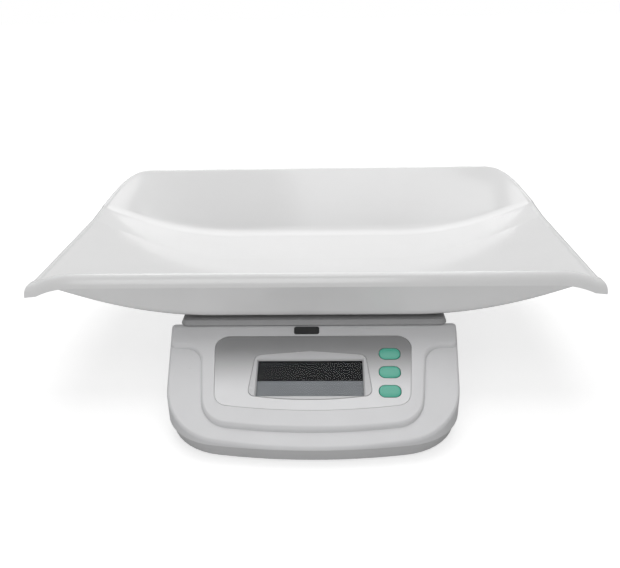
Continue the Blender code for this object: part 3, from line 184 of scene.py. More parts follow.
def stacked(rings, folds=(), where=None):
    """A filled circle laid on the first ring and extruded through the others. Where the top bends it gets a
    line from side to side at each of the given y."""
    bpy.ops.object.select_all(action="DESELECT")
    bpy.ops.mesh.primitive_circle_add(vertices=len(rings[0]), fill_type="NGON")
    piece = bpy.context.object
    bpy.ops.object.mode_set(mode="EDIT")
    bm = bmesh.from_edit_mesh(piece.data)
    ring = list(bm.verts)
    for vertex, place in zip(ring, rings[0]):
        vertex.co = place
    for places in rings[1:]:
        ring = drawn(ring)
        for vertex, place in zip(ring, places):
            vertex.co = place
    for near, far in zip(ring[1:], reversed(ring[2:])):
        if near.co.x > far.co.x and any(abs(near.co.y - fold) < 2e-6 for fold in folds):
            bmesh.ops.connect_verts(bm, verts=[near, far])
    bmesh.update_edit_mesh(piece.data)
    bpy.ops.mesh.select_all(action="SELECT")
    bpy.ops.mesh.normals_make_consistent(inside=False)
    bpy.ops.object.mode_set(mode="OBJECT")
    if where is not None:
        piece.data.transform(where)
    return piece


def plate(corners, low, high, where=None, step=7):
    points = rounded(corners, step)
    return stacked([[(x, y, low) for x, y in points], [(x, y, high) for x, y in points]], where=where)


def rods(places, radius, low, high, where=None, sides=40):
    """Upright rods at (x, y) places, joined as one tool."""
    made = []
    for x, y in places:
        bpy.ops.mesh.primitive_cylinder_add(
            vertices=sides, radius=radius, depth=high - low, location=(x, y, (low + high) / 2))
        made.append(bpy.context.object)
    for rod in made:
        rod.select_set(True)
    if len(made) > 1:
        bpy.ops.object.join()
    piece = bpy.context.object
    bpy.ops.object.transform_apply(location=True, rotation=True, scale=True)
    if where is not None:
        piece.data.transform(where)
    return piece


def brick(low, high, where=None):
    bpy.ops.object.select_all(action="DESELECT")
    low, high = Vector(low), Vector(high)
    bpy.ops.mesh.primitive_cube_add(size=1, location=(low + high) / 2, scale=high - low)
    piece = bpy.context.object
    bpy.ops.object.transform_apply(location=True, rotation=True, scale=True)
    if where is not None:
        piece.data.transform(where)
    return piece


def settled(piece, name, smooth_angle=35):
    """Doubles merged, faces turned outwards, shaded smooth up to an angle, with flat faces kept flat."""
    piece.name = name
    piece.data.name = name
    only(piece)
    bpy.ops.object.mode_set(mode="EDIT")
    bpy.ops.mesh.select_all(action="SELECT")
    bpy.ops.mesh.remove_doubles(threshold=2e-6)
    bpy.ops.mesh.normals_make_consistent(inside=False)
    bpy.ops.object.mode_set(mode="OBJECT")
    bpy.ops.object.shade_smooth_by_angle(angle=math.radians(smooth_angle))
    change(piece, "WEIGHTED_NORMAL", keep_sharp=True, weight=60)
    return piece


def plastic(name, colour, roughness, mottle=0.02, grain=0.10, grain_scale=1400, metallic=0.0, coat=0.0):
    """Moulded plastic or painted metal: a little cloudiness in the colour, uneven gloss and a fine grain."""
    made = bpy.data.materials.new(name)
    made.use_nodes = True
    nodes, links = made.node_tree.nodes, made.node_tree.links
    shader = nodes["Principled BSDF"]
    shader.inputs["Metallic"].default_value = metallic
    shader.inputs["IOR"].default_value = 1.5
    shader.inputs["Coat Weight"].default_value = coat
    shader.inputs["Coat Roughness"].default_value = 0.08
    place = nodes.new("ShaderNodeTexCoord").outputs["Object"]

    cloud = nodes.new("ShaderNodeTexNoise")
    cloud.inputs["Scale"].default_value = 22
    cloud.inputs["Detail"].default_value = 5
    tint = nodes.new("ShaderNodeValToRGB")
    tint.color_ramp.elements[0].position = 0.3
    tint.color_ramp.elements[1].position = 0.7
    tint.color_ramp.elements[0].color = (*[c * (1 - mottle) for c in colour], 1)
    tint.color_ramp.elements[1].color = (*[min(c * (1 + mottle), 1) for c in colour], 1)
    links.new(place, cloud.inputs["Vector"])
    links.new(cloud.outputs["Fac"], tint.inputs["Fac"])
    links.new(tint.outputs["Color"], shader.inputs["Base Color"])

    handled = nodes.new("ShaderNodeTexNoise")
    handled.inputs["Scale"].default_value = 60
    handled.inputs["Detail"].default_value = 3
    gloss = nodes.new("ShaderNodeMapRange")
    gloss.inputs["To Min"].default_value = roughness * 0.85
    gloss.inputs["To Max"].default_value = min(roughness * 1.15, 1)
    links.new(place, handled.inputs["Vector"])
    links.new(handled.outputs["Fac"], gloss.inputs["Value"])
    links.new(gloss.outputs["Result"], shader.inputs["Roughness"])

    fine = nodes.new("ShaderNodeTexNoise")
    fine.inputs["Scale"].default_value = grain_scale
    fine.inputs["Detail"].default_value = 2
    bump = nodes.new("ShaderNodeBump")
    bump.inputs["Strength"].default_value = grain
    bump.inputs["Distance"].default_value = 0.0001
    links.new(place, fine.inputs["Vector"])
    links.new(fine.outputs["Fac"], bump.inputs["Height"])
    links.new(bump.outputs["Normal"], shader.inputs["Normal"])
    return made


def fitted(piece, body, slot, look, *nodes):
    """The piece with its finish, on its body, in place of the CAD nodes that it stands for."""
    piece.data.materials.clear()
    piece.data.materials.append(look)
    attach(piece, body)
    if nodes:
        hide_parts(*nodes)


def level(corners, height, rows=(), step=7):
    """The outline's points at one height, or at the height that a rule gives for each y. It starts at the
    front's middle, and gets more points where its sides cross the given rows."""
    points = rounded(corners, step)
    ring = []
    for (x0, y0), (x1, y1) in zip(points, points[1:] + points[:1]):
        ring.append((x0, y0))
        crossed = sorted((y for y in rows if min(y0, y1) + 1e-5 < y < max(y0, y1) - 1e-5), reverse=y1 < y0)
        ring += [(x0 + (x1 - x0) * (y - y0) / (y1 - y0), y) for y in crossed]
    first = min(range(len(ring)), key=lambda i: (round(ring[i][1], 7), abs(ring[i][0])))
    ring = ring[first:] + ring[:first]
    return [(x, y, height(y) if callable(height) else height) for x, y in ring]


def drafted(corners, upper_edge, low, high, round_radius=0, round_steps=5):
    """Rings from a lower outline, with a rounded bottom edge, up to a wider upper one."""
    rings = []
    for k in range(round_steps if round_radius else 0):
        angle = math.pi / 2 * k / round_steps
        rings.append(level(inset(corners, round_radius * (1 - math.sin(angle))),
                           low + round_radius * (1 - math.cos(angle))))
    start = level(corners, low + round_radius)
    end = level(upper_edge, high)
    return rings + [start, end]


foot_places = [(-0.113, -0.1495), (0.113, -0.1495), (0.113, 0.097), (-0.113, 0.097)]
screw_places = [(-0.117, -0.1175), (0.117, -0.1175), (0.117, 0.071), (-0.117, 0.071)]
load_y = 0.02265
chassis_places = [(-0.072, load_y - 0.04005), (0.072, load_y - 0.04005),
                  (0.072, load_y + 0.04005), (-0.072, load_y + 0.04005)]
lower_top = parting_height - seat_gap
upper_edge = inset(base_outline(), 0.0009)
lower_edge = [(x, y, radius + 0.009) for x, y, radius in inset(base_outline(), 0.0032)]
lower = stacked(drafted(lower_edge, upper_edge, ground_gap, lower_top, 0.0018))
hollow_low, hollow_high = inset(lower_edge, lower_wall), inset(upper_edge, lower_wall)
cut(lower, stacked(drafted(hollow_low, hollow_high, ground_gap + lower_wall, lower_top + 0.002)))

boss_low = ground_gap + lower_wall / 2
box_low, box_high = (-0.02885, -0.1113, 0.0055), (0.02885, -0.0518, 0.0206)
pocket_low, pocket_high = (-0.03135, -0.1238), (0.03135, -0.0493)
for solid in (
    rods(foot_places, 0.0135, boss_low, 0.0075),
    rods(screw_places, 0.0059, boss_low, lower_top),
    rods(chassis_places, 0.005, boss_low, 0.010),
    brick((pocket_low[0] - 0.0065, pocket_low[1] - 0.004, boss_low),
          (pocket_high[0] + 0.0065, pocket_high[1] + 0.004, 0.0075)),
    brick((box_low[0] - 0.002, box_low[1] - 0.002, boss_low),
          (box_high[0] + 0.002, box_high[1] + 0.002, box_high[2] + 0.002)),
):
    merge(lower, solid)
cut(
    lower,
    rods(foot_places, 0.0113, 0.001, ground_gap + 0.002),
    rods(screw_places, 0.0033, 0.001, 0.0095),
    rods(screw_places, 0.0018, 0.003, lower_top + 0.002, sides=24),
    rods(chassis_places, 0.0018, 0.0058, 0.0123, sides=24),
    brick((*box_low[:2], 0.001), box_high),
    brick((*pocket_low, 0.001), (*pocket_high, 0.0055)),
)
hook_starts = [box_low[1] + (box_high[1] - box_low[1]) * share for share in (0.12, 0.62)]
for side in (-1, 1):
    for start in hook_starts:
        near, far = sorted((side * 0.03075, side * 0.03385))
        cut(
            lower,
            brick((near, start - 0.0103, 0.0038), (far, start + 0.0083, 0.0055)),
            brick((near, start - 0.0103, 0.001), (far, start - 0.0017, 0.0055)),
        )
settled(lower, "lower_shell", 30)
lower_grey = plastic("lower grey plastic", (0.56, 0.56, 0.565), 0.42, grain=0.16, grain_scale=1100)
fitted(lower, "base", "lower_grey", lower_grey, "lower_housing")


# Feet. Four black rubber discs glued into shallow recesses of the lower housing, with a hollow in the middle
# of each sole so that it grips the table.

def disc(profile, x=0, y=0, sides=48, where=None):
    """A round piece: circles of the profile's (radius, height) pairs laid on each other."""
    angles = [2 * math.pi * k / sides for k in range(sides)]
    rings = []
    for radius, height in profile:
        rings.append([(x + radius * math.cos(angle), y + radius * math.sin(angle), height) for angle in angles])
    return stacked(rings, where=where)


rubber_black = plastic("black rubber", (0.03, 0.03, 0.031), 0.75, mottle=0.15, grain=0.35, grain_scale=900)
foot_top = ground_gap + 0.002 - seat_gap
foot_profile = [(0.011, foot_top), (0.011, 0.0011), (0.0108, 0.0004), (0.0102, 0.0), (0.0075, 0.0),
                (0.0070, 0.0004), (0.0020, 0.0006)]
for i, (x, y) in enumerate(foot_places):
    foot = settled(disc(foot_profile, x, y), f"rubber_foot_{i + 1}", 40)
    fitted(foot, "base", "rubber_black", rubber_black, f"foot_{i + 1}")


# Battery door. A flat cover in the lower housing's grey plastic that slides under the base on four hooks.
# The ribs near its front edge are a grip for the thumb.

door_low, door_high = (-0.03105, -0.1135, ground_gap), (0.03105, -0.0496, ground_gap + 0.0022)
door = brick(door_low, door_high)
change(door, "BEVEL", width=0.0004, segments=2, limit_method="ANGLE")
for side in (-1, 1):
    for start in hook_starts:
        near, far = sorted((side * 0.02995, side * 0.03355))
        merge(door, brick((near, start, door_high[2] - 0.0011), (far, start + 0.008, door_high[2])))
for k in range(4):
    start = door_low[1] + 0.004 + k * 0.003
    cut(door, brick((-0.01035, start, 0.001), (0.01035, start + 0.0015, ground_gap + 0.0008)))
settled(door, "battery_cover", 30)
fitted(door, "battery_door", "lower_grey", lower_grey, "battery_door")


# Upper housing. The light grey satin moulding, also ABS. Its raised top runs down from the platform as the
# display pod, with the lower apron round it, and falls away in front of the knee. It has the panel's recess,
# the display and key openings, four openings for the platform's posts, and screw and board posts inside.

base_height, crown_drop, wall, wall_drop = 0.0735, 0.004339, 0.0028, 0.003037
slope = math.atan2(base_height - 0.02272, 0.1208)
knee_soft = 0.0026
knee_rows = [knee_y + knee_soft * k / 3 for k in range(-3, 4)]
panel_frame = Matrix.Translation((0, knee_y, base_height)) @ Matrix.Rotation(slope, 4, "X")
post_places = [(-0.085, -0.0482), (0.085, -0.0482), (0.085, 0.0935), (-0.085, 0.0935)]
ceiling = 0.070463


def top_at(y, drop=0.0):
    """Height of the base's top at y: level behind the knee, sloping in front, softly bent between."""
    ahead = knee_y - y
    fall = max(ahead, 0)
    if abs(ahead) < knee_soft:
        fall = (ahead + knee_soft) ** 2 / (4 * knee_soft)
    return base_height - drop - fall * math.tan(slope)


def crown_outline():
    """The raised part of the top: the display pod, which widens at its shoulders to the whole width."""
    pod_front, pod_bow, pod_half, shoulder_y = -0.1845, 0.700, 0.110, -0.1000
    lean = math.tan(math.radians(7.8))
    middle_y, x, y = bowed_front(pod_front, pod_bow, math.radians(6.3), pod_half, shoulder_y, lean)
    return mirrored([
        (0, middle_y, pod_bow), (x, y, 0.030), (pod_half, shoulder_y, 0.018),
        (side_x(shoulder_y) - 0.0008, shoulder_y, 0.006), *rear_corners(0.0008),
    ])


def under_slope(corners, low, drop, edge=0.0, steps=6):
    """A body with upright sides, a rounded top edge and a top that follows the slope."""
    rings = [level(corners, low, knee_rows)]
    for k in range(steps + 1) if edge else (0,):
        angle = math.pi / 2 * k / steps
        drawn_in, below = edge * (1 - math.cos(angle)), edge * (1 - math.sin(angle))
        rings.append(level(inset(corners, drawn_in), lambda y: top_at(y, drop) - below, knee_rows))
    return stacked(rings, folds=knee_rows)


def panel_outline(fit):
    """The grey panel: bowed at the bottom, narrower there, with round corners. Down the slope is -y."""
    lean, bow = math.tan(math.radians(5.4)), math.radians(6.7)
    middle = 0.09671 + 0.600 * (1 / math.cos(bow) - 1)
    x = (0.097 - lean * (middle - 0.01235)) / (1 - lean * math.tan(bow))
    half = [(0, -middle, 0.600), (x, -middle + x * math.tan(bow), 0.014), (0.097, -0.01235, 0.014)]
    return inset(mirrored(half), fit)


def box_outline(low_x, low_y, high_x, high_y, radius=0.0):
    corners = [(low_x, low_y), (high_x, low_y), (high_x, high_y), (low_x, high_y)]
    return [(x, y, radius) for x, y in corners]


def window_outline(margin):
    return box_outline(-0.052 - margin, -0.08101 - margin, 0.0476 + margin, -0.04165 + margin)


key_places = {"power_key": (0.0738, -0.03445), "zero_key": (0.0727, -0.05548), "hold_key": (0.0716, -0.07651)}


def key_outline(place, margin):
    x, y = place
    half_x, half_y = 0.010 + margin, 0.0064 + margin
    return box_outline(x - half_x, y - half_y, x + half_x, y + half_y, half_y * 0.92)


upper = under_slope(base_outline(), 0.004, crown_drop, 0.0025)
merge(upper, under_slope(crown_outline(), 0.006, 0, 0.0026))
cut(
    upper,
    under_slope(inset(base_outline(), wall), 0.002, crown_drop + wall_drop),
    under_slope(inset(crown_outline(), wall), 0.003, wall_drop),
    brick((-0.2, -0.25, -0.01), (0.2, 0.2, parting_height)),
    plate(panel_outline(0), -0.0013, 0.004, panel_frame),
    plate(window_outline(0.0015), -0.0056, 0.002, panel_frame),
    rods(post_places, 0.008, ceiling - 0.002, base_height + 0.002),
)
for place in key_places.values():
    cut(upper, plate(key_outline(place, 0.0005), -0.0056, 0.002, panel_frame))
post_top = top_at(screw_places[0][1], crown_drop) - wall_drop / 2
merge(upper, rods(screw_places[:2], 0.0041, parting_height, post_top))
merge(upper, rods(screw_places[2:], 0.0041, parting_height, base_height - wall_drop / 2))
cut(upper, rods(screw_places, 0.0018, parting_height - 0.002, 0.0295, sides=24))
board_corners = [(x, y) for x in (-0.0615, 0.0815) for y in (-0.02245, -0.09001)]
for radius, low, high in ((0.003, -0.0106, -0.0024), (0.0012, -0.0134, -0.0055), (0.0024, -0.0140, -0.0128)):
    merge(upper, rods(board_corners, radius, low, high, panel_frame, sides=24))
settled(upper, "upper_shell", 30)
housing_grey = plastic("light grey satin plastic", (0.70, 0.70, 0.71), 0.36, grain=0.10, grain_scale=1600)
fitted(upper, "base", "housing_grey", housing_grey, "upper_housing")


# Panel. A grey polycarbonate overlay, 1 mm thick, glued into the pod's recess flush with its face. It is cut
# out for the display's frame and the keys. Its print is plain. Its colour is darkened towards the top with
# painted shade, the tray's shadow painted into it.

def edged(corners, low, high, edge, where, steps=3):
    """A plate with a rounded upper edge."""
    rings = [level(corners, low)]
    for k in range(steps + 1):
        angle = math.pi / 2 * k / steps
        rings.append(level(inset(corners, edge * (1 - math.cos(angle))), high - edge * (1 - math.sin(angle))))
    return stacked(rings, where=where)


window_middle = -0.0022


def bow(half_width, rise, corner):
    """Radius of a bowed edge that rises so far over its half width, and how far its corner lies beyond it."""
    slant = math.atan(rise / half_width)
    radius = (half_width - corner) / math.tan(slant)
    return radius, radius * (1 / math.cos(slant) - 1)


def bezel_outline(fit):
    top_x, low_x = 0.0530, 0.0578
    top_radius, top_peak = bow(top_x, 0.0096, 0.007)
    low_radius, low_peak = bow(low_x, 0.0081, 0.007)
    high, low = 0.03085 - top_peak, 0.08521 + low_peak
    half = [(0, -low, low_radius), (low_x, -low + 0.0081, 0.007), (top_x, -high - 0.0096, 0.007),
            (0, -high, top_radius)]
    return [(x + window_middle, y, radius) for x, y, radius in inset(mirrored(half), fit)]


def painted_tray_shade(made, share, high, low):
    """Paints shade into a plastic: darkens it to a share of its colour between the places low and high along
    the object's Y, as a painted shadow of the tray.
    """
    nodes, links = made.node_tree.nodes, made.node_tree.links
    axis = nodes.new("ShaderNodeSeparateXYZ")
    links.new(nodes["Texture Coordinate"].outputs["Object"], axis.inputs["Vector"])
    down = nodes.new("ShaderNodeMapRange")
    down.interpolation_type = "SMOOTHSTEP"
    down.inputs["From Min"].default_value = high
    down.inputs["From Max"].default_value = low
    down.inputs["To Min"].default_value = share
    links.new(axis.outputs["Y"], down.inputs["Value"])
    shade = nodes.new("ShaderNodeVectorMath")
    shade.operation = "SCALE"
    links.new(nodes["Color Ramp"].outputs["Color"], shade.inputs[0])
    links.new(down.outputs["Result"], shade.inputs["Scale"])
    links.new(shade.outputs["Vector"], nodes["Principled BSDF"].inputs["Base Color"])


panel = edged(panel_outline(0.00035), -0.001, 0, 0.0003, panel_frame)
cut(panel, plate(bezel_outline(-0.00035), -0.003, 0.003, panel_frame))
for place in key_places.values():
    cut(panel, plate(key_outline(place, 0.0005), -0.003, 0.003, panel_frame))
settled(panel, "grey_panel", 30)
panel_grey = plastic("grey film with painted tray shade", (0.75, 0.75, 0.76), 0.24, grain=0.02, grain_scale=2200)
# Painted shade: the panel's colour darkens towards the top, where the tray's shadow falls.
painted_tray_shade(panel_grey, 0.37, -0.104, -0.152)
fitted(panel, "base", "panel_grey", panel_grey, "display_overlay")


# Display frame. A light grey moulding with a gloss face round the window, bowed at the top and bottom. Its
# inner edge slopes down to the window.

bezel = edged(bezel_outline(0), -0.001, 0.0006, 0.0005, panel_frame)
cut(bezel, stacked([
    level(window_outline(-0.0002), -0.0012),
    level(window_outline(0), -0.0008),
    level(window_outline(0.0014), 0.0008),
], where=panel_frame))
settled(bezel, "display_frame", 25)
bezel_grey = plastic("light grey gloss plastic", (0.57, 0.57, 0.58), 0.26, grain=0.03, grain_scale=1800)
# Painted shade: the frame's colour also darkens towards the top, where the tray's shadow falls.
painted_tray_shade(bezel_grey, 0.82, -0.112, -0.150)
fitted(bezel, "base", "bezel_grey", bezel_grey, "display_bezel")


# Display. A liquid-crystal glass, dark grey and unlit as in the photo, behind a clear acrylic window. Its lower
# part is painted lighter, a painted reflection of the bright light above, cut off by a sharp line where the
# tray's lip would be reflected. No digit is shown.

glass = edged(window_outline(0.0006), -0.0048, -0.0026, 0.0003, panel_frame, steps=1)
settled(glass, "display_crystal", 30)
window = edged(window_outline(0.0012), -0.0023, -0.0013, 0.0002, panel_frame, steps=1)
settled(window, "display_lens", 30)

crystal = bpy.data.materials.new("liquid crystal glass")
crystal.use_nodes = True
nodes, links = crystal.node_tree.nodes, crystal.node_tree.links
shader = nodes["Principled BSDF"]
shader.inputs["Roughness"].default_value = 0.22
shader.inputs["Specular IOR Level"].default_value = 0.05
place = nodes.new("ShaderNodeTexCoord").outputs["Object"]
axis = nodes.new("ShaderNodeSeparateXYZ")
links.new(place, axis.inputs["Vector"])
# Painted reflection: the glass is near black above a sharp line and grey below it, where the bright light above
# would be reflected.
down = nodes.new("ShaderNodeMapRange")
down.inputs["From Min"].default_value = -0.1166
down.inputs["From Max"].default_value = -0.1536
links.new(axis.outputs["Y"], down.inputs["Value"])
shade = nodes.new("ShaderNodeValToRGB")
shade.color_ramp.elements[0].position = 0.0
shade.color_ramp.elements[0].color = (0.006, 0.007, 0.009, 1)
shade.color_ramp.elements[1].position = 1.0
shade.color_ramp.elements[1].color = (0.31, 0.32, 0.33, 1)
for position, grey in ((0.530, 0.010), (0.545, 0.295)):
    stop = shade.color_ramp.elements.new(position)
    stop.color = (grey, grey * 1.03, grey * 1.08, 1)
links.new(down.outputs["Result"], shade.inputs["Fac"])
cloud = nodes.new("ShaderNodeTexNoise")
cloud.inputs["Scale"].default_value = 45
mixed = nodes.new("ShaderNodeMix")
mixed.data_type = "RGBA"
mixed.blend_type = "OVERLAY"
mixed.inputs["Factor"].default_value = 0.10
links.new(place, cloud.inputs["Vector"])
links.new(shade.outputs["Color"], mixed.inputs["A"])
links.new(cloud.outputs["Fac"], mixed.inputs["B"])
links.new(mixed.outputs["Result"], shader.inputs["Base Color"])
fitted(glass, "base", "glass_grey", crystal, "display_glass")

acrylic = bpy.data.materials.new("clear acrylic")
acrylic.use_nodes = True
nodes, links = acrylic.node_tree.nodes, acrylic.node_tree.links
shader = nodes["Principled BSDF"]
shader.inputs["Base Color"].default_value = (0.92, 0.93, 0.94, 1)
shader.inputs["Transmission Weight"].default_value = 1.0
shader.inputs["IOR"].default_value = 1.12
shader.inputs["Specular IOR Level"].default_value = 0.2
haze = nodes.new("ShaderNodeTexNoise")
haze.inputs["Scale"].default_value = 40
haze.inputs["Detail"].default_value = 4
gloss = nodes.new("ShaderNodeMapRange")
gloss.inputs["To Min"].default_value = 0.02
gloss.inputs["To Max"].default_value = 0.07
links.new(nodes.new("ShaderNodeTexCoord").outputs["Object"], haze.inputs["Vector"])
links.new(haze.outputs["Fac"], gloss.inputs["Value"])
links.new(gloss.outputs["Result"], shader.inputs["Roughness"])
fitted(window, "base", "window_clear", acrylic, "display_window")


# Keys. Three oval teal push keys in a soft plastic, each with a shallow dome, a flange that holds it under
# the housing and a stem that presses its switch.

key_teal = plastic("teal plastic", (0.080, 0.44, 0.32), 0.26, mottle=0.03, grain=0.12, grain_scale=1500)
for name, place in key_places.items():
    rings = [level(key_outline(place, 0), -0.0037)]
    for drawn_in, height in ((0, 0.0), (0.0001, 0.00022), (0.00035, 0.0004), (0.0007, 0.00052),
                             (0.0016, 0.00070), (0.0030, 0.00084), (0.0046, 0.0009)):
        rings.append(level(key_outline(place, -drawn_in), height))
    key = stacked(rings, where=panel_frame)
    merge(key, plate(key_outline(place, 0.0016), -0.0043, -0.0031, panel_frame))
    merge(key, rods([place], 0.0025, -0.0055, -0.0037, panel_frame, sides=24))
    settled(key, name.replace("_key", "_button"), 40)
    fitted(key, name, "key_teal", key_teal, name)


# Name plate. A bare black plate with round corners, moulded in hard plastic. It is glued to the crown just in
# front of the knee, above the panel.

plate_outline = box_outline(-0.0189, -0.0104, 0.0061, -0.0010, 0.0024)
name_plate = settled(edged(plate_outline, -0.0009, 0.0005, 0.0003, panel_frame), "bare_plate", 30)
chip_black = plastic("black moulded plastic", (0.02, 0.02, 0.021), 0.42, mottle=0.12, grain=0.12)
fitted(name_plate, "base", "chip_black", chip_black)


# Platform cover. The grey plastic plate that carries the tray, screwed to the load cell's bracket through
# four bosses. Its sides flare out downwards, its top edge is rounded and each boss has a recess for a rubber
# pad.

platform_low, platform_high = 0.0744, 0.0794
cover_outline = box_outline(-0.1315, -0.0767, 0.1315, 0.122, 0.006)
boss_low = platform_low + 0.0008
cover_side = [
    (-0.0018, platform_low), (-0.0015, platform_low + 0.0012), (-0.0003, platform_high - 0.0014),
    (0, platform_high - 0.0009), (0.0003, platform_high - 0.0004), (0.0012, platform_high),
]
cover = stacked([level(inset(cover_outline, drawn_in), height) for drawn_in, height in cover_side])
cut(cover, plate(inset(cover_outline, 0.002), platform_low - 0.002, platform_high - 0.002))
merge(cover, rods(post_places, 0.012, boss_low, platform_high - 0.001))
cut(
    cover,
    rods(post_places, 0.0103, platform_high - 0.0009, platform_high + 0.002),
    rods(post_places, 0.0043, boss_low + 0.0012, platform_high - 0.0004),
    rods(post_places, 0.0023, boss_low - 0.002, boss_low + 0.0018, sides=24),
)
settled(cover, "platform_plate", 30)
# Painted shade in part: this grey is set darker than the plate's own tone, to deepen the tray's shadow on it.
platform_grey = plastic("grey plastic", (0.36, 0.36, 0.365), 0.48, grain=0.14, grain_scale=1200)
fitted(cover, "platform", "platform_grey", platform_grey, "platform_cover")

pad_low, pad_high = platform_high - 0.0006, platform_high + 0.0007
pad_profile = [(0.0098, pad_low), (0.010, pad_low + 0.0002), (0.010, pad_high - 0.0004),
               (0.0097, pad_high - 0.0001), (0.0093, pad_high)]
for i, (x, y) in enumerate(post_places):
    pad = disc(pad_profile, x, y)
    cut(pad, rods([(x, y)], 0.0035, pad_low - 0.001, pad_high + 0.001))
    settled(pad, f"rubber_pad_{i + 1}", 40)
    fitted(pad, "platform", "rubber_black", rubber_black, f"tray_pad_{i + 1}")


# Tray. One thin white moulding in gloss ABS. A level trough in the middle curves up to the ends, the back wall
# is high and leans back, the front wall is low and steep, and the rim rolls over into a lip that turns down.
# Four short feet underneath stand on the pads.

tray_floor, tray_front, tray_back, tray_middle = 0.0839, -0.094, 0.1995, 0.05275
lip_reach, lip_roll, lip_drop = 0.009, 0.0024, 0.0105
rim_x = 0.2775 - lip_reach
flat_half, corner_run, tip_run = 0.100, 0.0555, 0.038
back_run, end_share = 0.0445, 0.03


def lift(x):
    """How far the trough has risen towards its end."""
    return max(abs(x) - flat_half, 0) ** 2 / (2 * 0.3745)


def tray_corners(x):
    """Front rim, foot of the front wall, crease, foot of the back wall and back rim at x, each as its y, z and
    fillet."""
    droop = 0.0094 * max((x - rim_x + tip_run) / tip_run, 0) ** 2
    along = min(max((x - flat_half) / (rim_x - flat_half), 0), 1)
    splay = 0.032 * along * along * (3 - 2 * along)
    front_y, back_y = tray_front + lip_reach, tray_back - lip_reach - back_run
    beyond = min(max(x - rim_x + corner_run, 0) / corner_run, 1)
    share = 1 - beyond ** 3 * (1 - end_share)
    low_z, high_z = tray_floor + 0.0031 + lift(x), tray_floor + 0.0761 - lip_roll
    return [
        (front_y, tray_floor + 0.0526 - lip_roll - droop, 0),
        (front_y + 0.011, tray_floor + 0.0005 + lift(x), 0.010),
        (tray_middle + 0.0183 + splay, tray_floor + lift(x), 0.060),
        (back_y, low_z, 0.020),
        (back_y + back_run * share, low_z + (high_z - low_z) * share, 0),
    ]


def tray_section(x):
    """Points across the tray at x, with each corner rounded and each straight divided."""
    corners = tray_corners(x)
    places = [Vector(corner[:2]) for corner in corners]
    rounds = []
    for i in (1, 2, 3):
        back, ahead = places[i - 1] - places[i], places[i + 1] - places[i]
        along = min(corners[i][2] / math.tan(back.angle(ahead) / 2), back.length * 0.45, ahead.length * 0.7)
        start, end = places[i] + back.normalized() * along, places[i] + ahead.normalized() * along
        steps = (10, 8, 12)[i - 1]
        rounds.append([
            start * (1 - t) ** 2 + places[i] * 2 * t * (1 - t) + end * t * t
            for t in [k / steps for k in range(steps + 1)]
        ])
    points = [places[0]]
    for ends, pieces in zip((*rounds, [places[4]]), (4, 3, 4, 6)):
        last = points[-1]
        points += [last.lerp(ends[0], k / pieces) for k in range(1, pieces)]
        points += ends
    return points


corner_x = rim_x - corner_run
stations = [corner_x * k / 30 for k in range(30)]
stations += [corner_x + corner_run * k / 24 for k in range(25)]
sections = [tray_section(x) for x in stations]
columns, rows = len(stations) - 1, len(sections[0]) - 1
bpy.ops.object.select_all(action="DESELECT")
bpy.ops.mesh.primitive_grid_add(x_subdivisions=columns, y_subdivisions=rows, size=2)
tray = bpy.context.object
bpy.ops.object.mode_set(mode="EDIT")
bm = bmesh.from_edit_mesh(tray.data)
grid = {(round((v.co.x + 1) / 2 * columns), round((v.co.y + 1) / 2 * rows)): v for v in bm.verts}
for (i, j), vertex in grid.items():
    vertex.co = (stations[i], *sections[i][j])
rim = [grid[i, 0] for i in range(columns + 1)]
rim += [grid[columns, j] for j in range(1, rows)]
rim += [grid[i, rows] for i in range(columns, -1, -1)]
starts = [v.co.copy() for v in rim]
outward = []
for i, here in enumerate(starts):
    sides = [b - a for a, b in zip(starts[max(i - 1, 0):i + 1], starts[max(i, 1):i + 2])]
    normals = [Vector((side.y, -side.x)).normalized() for side in sides]
    mean = sum(normals, Vector((0, 0))) / len(normals)
    outward.append(mean / max(mean.length_squared, 0.5))
outward[0], outward[-1] = Vector((0, -1)), Vector((0, 1))
crest = 0.30
lip = [(crest * k / 4, lip_roll * math.sin(math.pi / 2 * k / 4)) for k in range(1, 5)]
for k in range(1, 10):
    angle = math.pi / 2 * k / 9
    lip.append((crest + (1 - crest) * math.sin(angle), -lip_drop + (lip_roll + lip_drop) * math.cos(angle)))
bpy.ops.mesh.select_all(action="DESELECT")
bpy.ops.mesh.select_mode(type="EDGE")
for a, b in zip(rim, rim[1:]):
    bm.edges.get((a, b)).select = True
ring = rim
for out, down in lip:
    ring = drawn(ring, faces=False)
    for vertex, here, away in zip(ring, starts, outward):
        vertex.co = (here.x + away.x * lip_reach * out, here.y + away.y * lip_reach * out, here.z + down)
bmesh.update_edit_mesh(tray.data)
bpy.ops.mesh.select_mode(type="VERT")
bpy.ops.object.mode_set(mode="OBJECT")
change(tray, "MIRROR", use_axis=(True, False, False), use_clip=True, merge_threshold=1e-5)
change(tray, "SOLIDIFY", thickness=0.003, offset=-1, use_even_offset=True)
foot_low = platform_high + 0.001
for x, y in post_places:
    top = tray_floor + lift(x) - 0.0009
    stub = disc([(0.0074, foot_low), (0.008, foot_low + 0.0006), (0.008, top)], x, y)
    merge(stub, rods([(x, y)], 0.0025, foot_low - 0.001, foot_low + 0.0015, sides=24))
    merge(tray, stub)
settled(tray, "white_tray", 40)
tray_white = plastic("white gloss plastic", (0.89, 0.89, 0.89), 0.17, mottle=0.006, grain=0.01,
                     grain_scale=900, coat=0.4)
fitted(tray, "tray", "tray_white", tray_white, "tray")


# Inner parts. The load cell, bracket, chassis, board, batteries and screws keep their CAD shapes, which are
# already those of the real parts. They get their metals and plastics here.

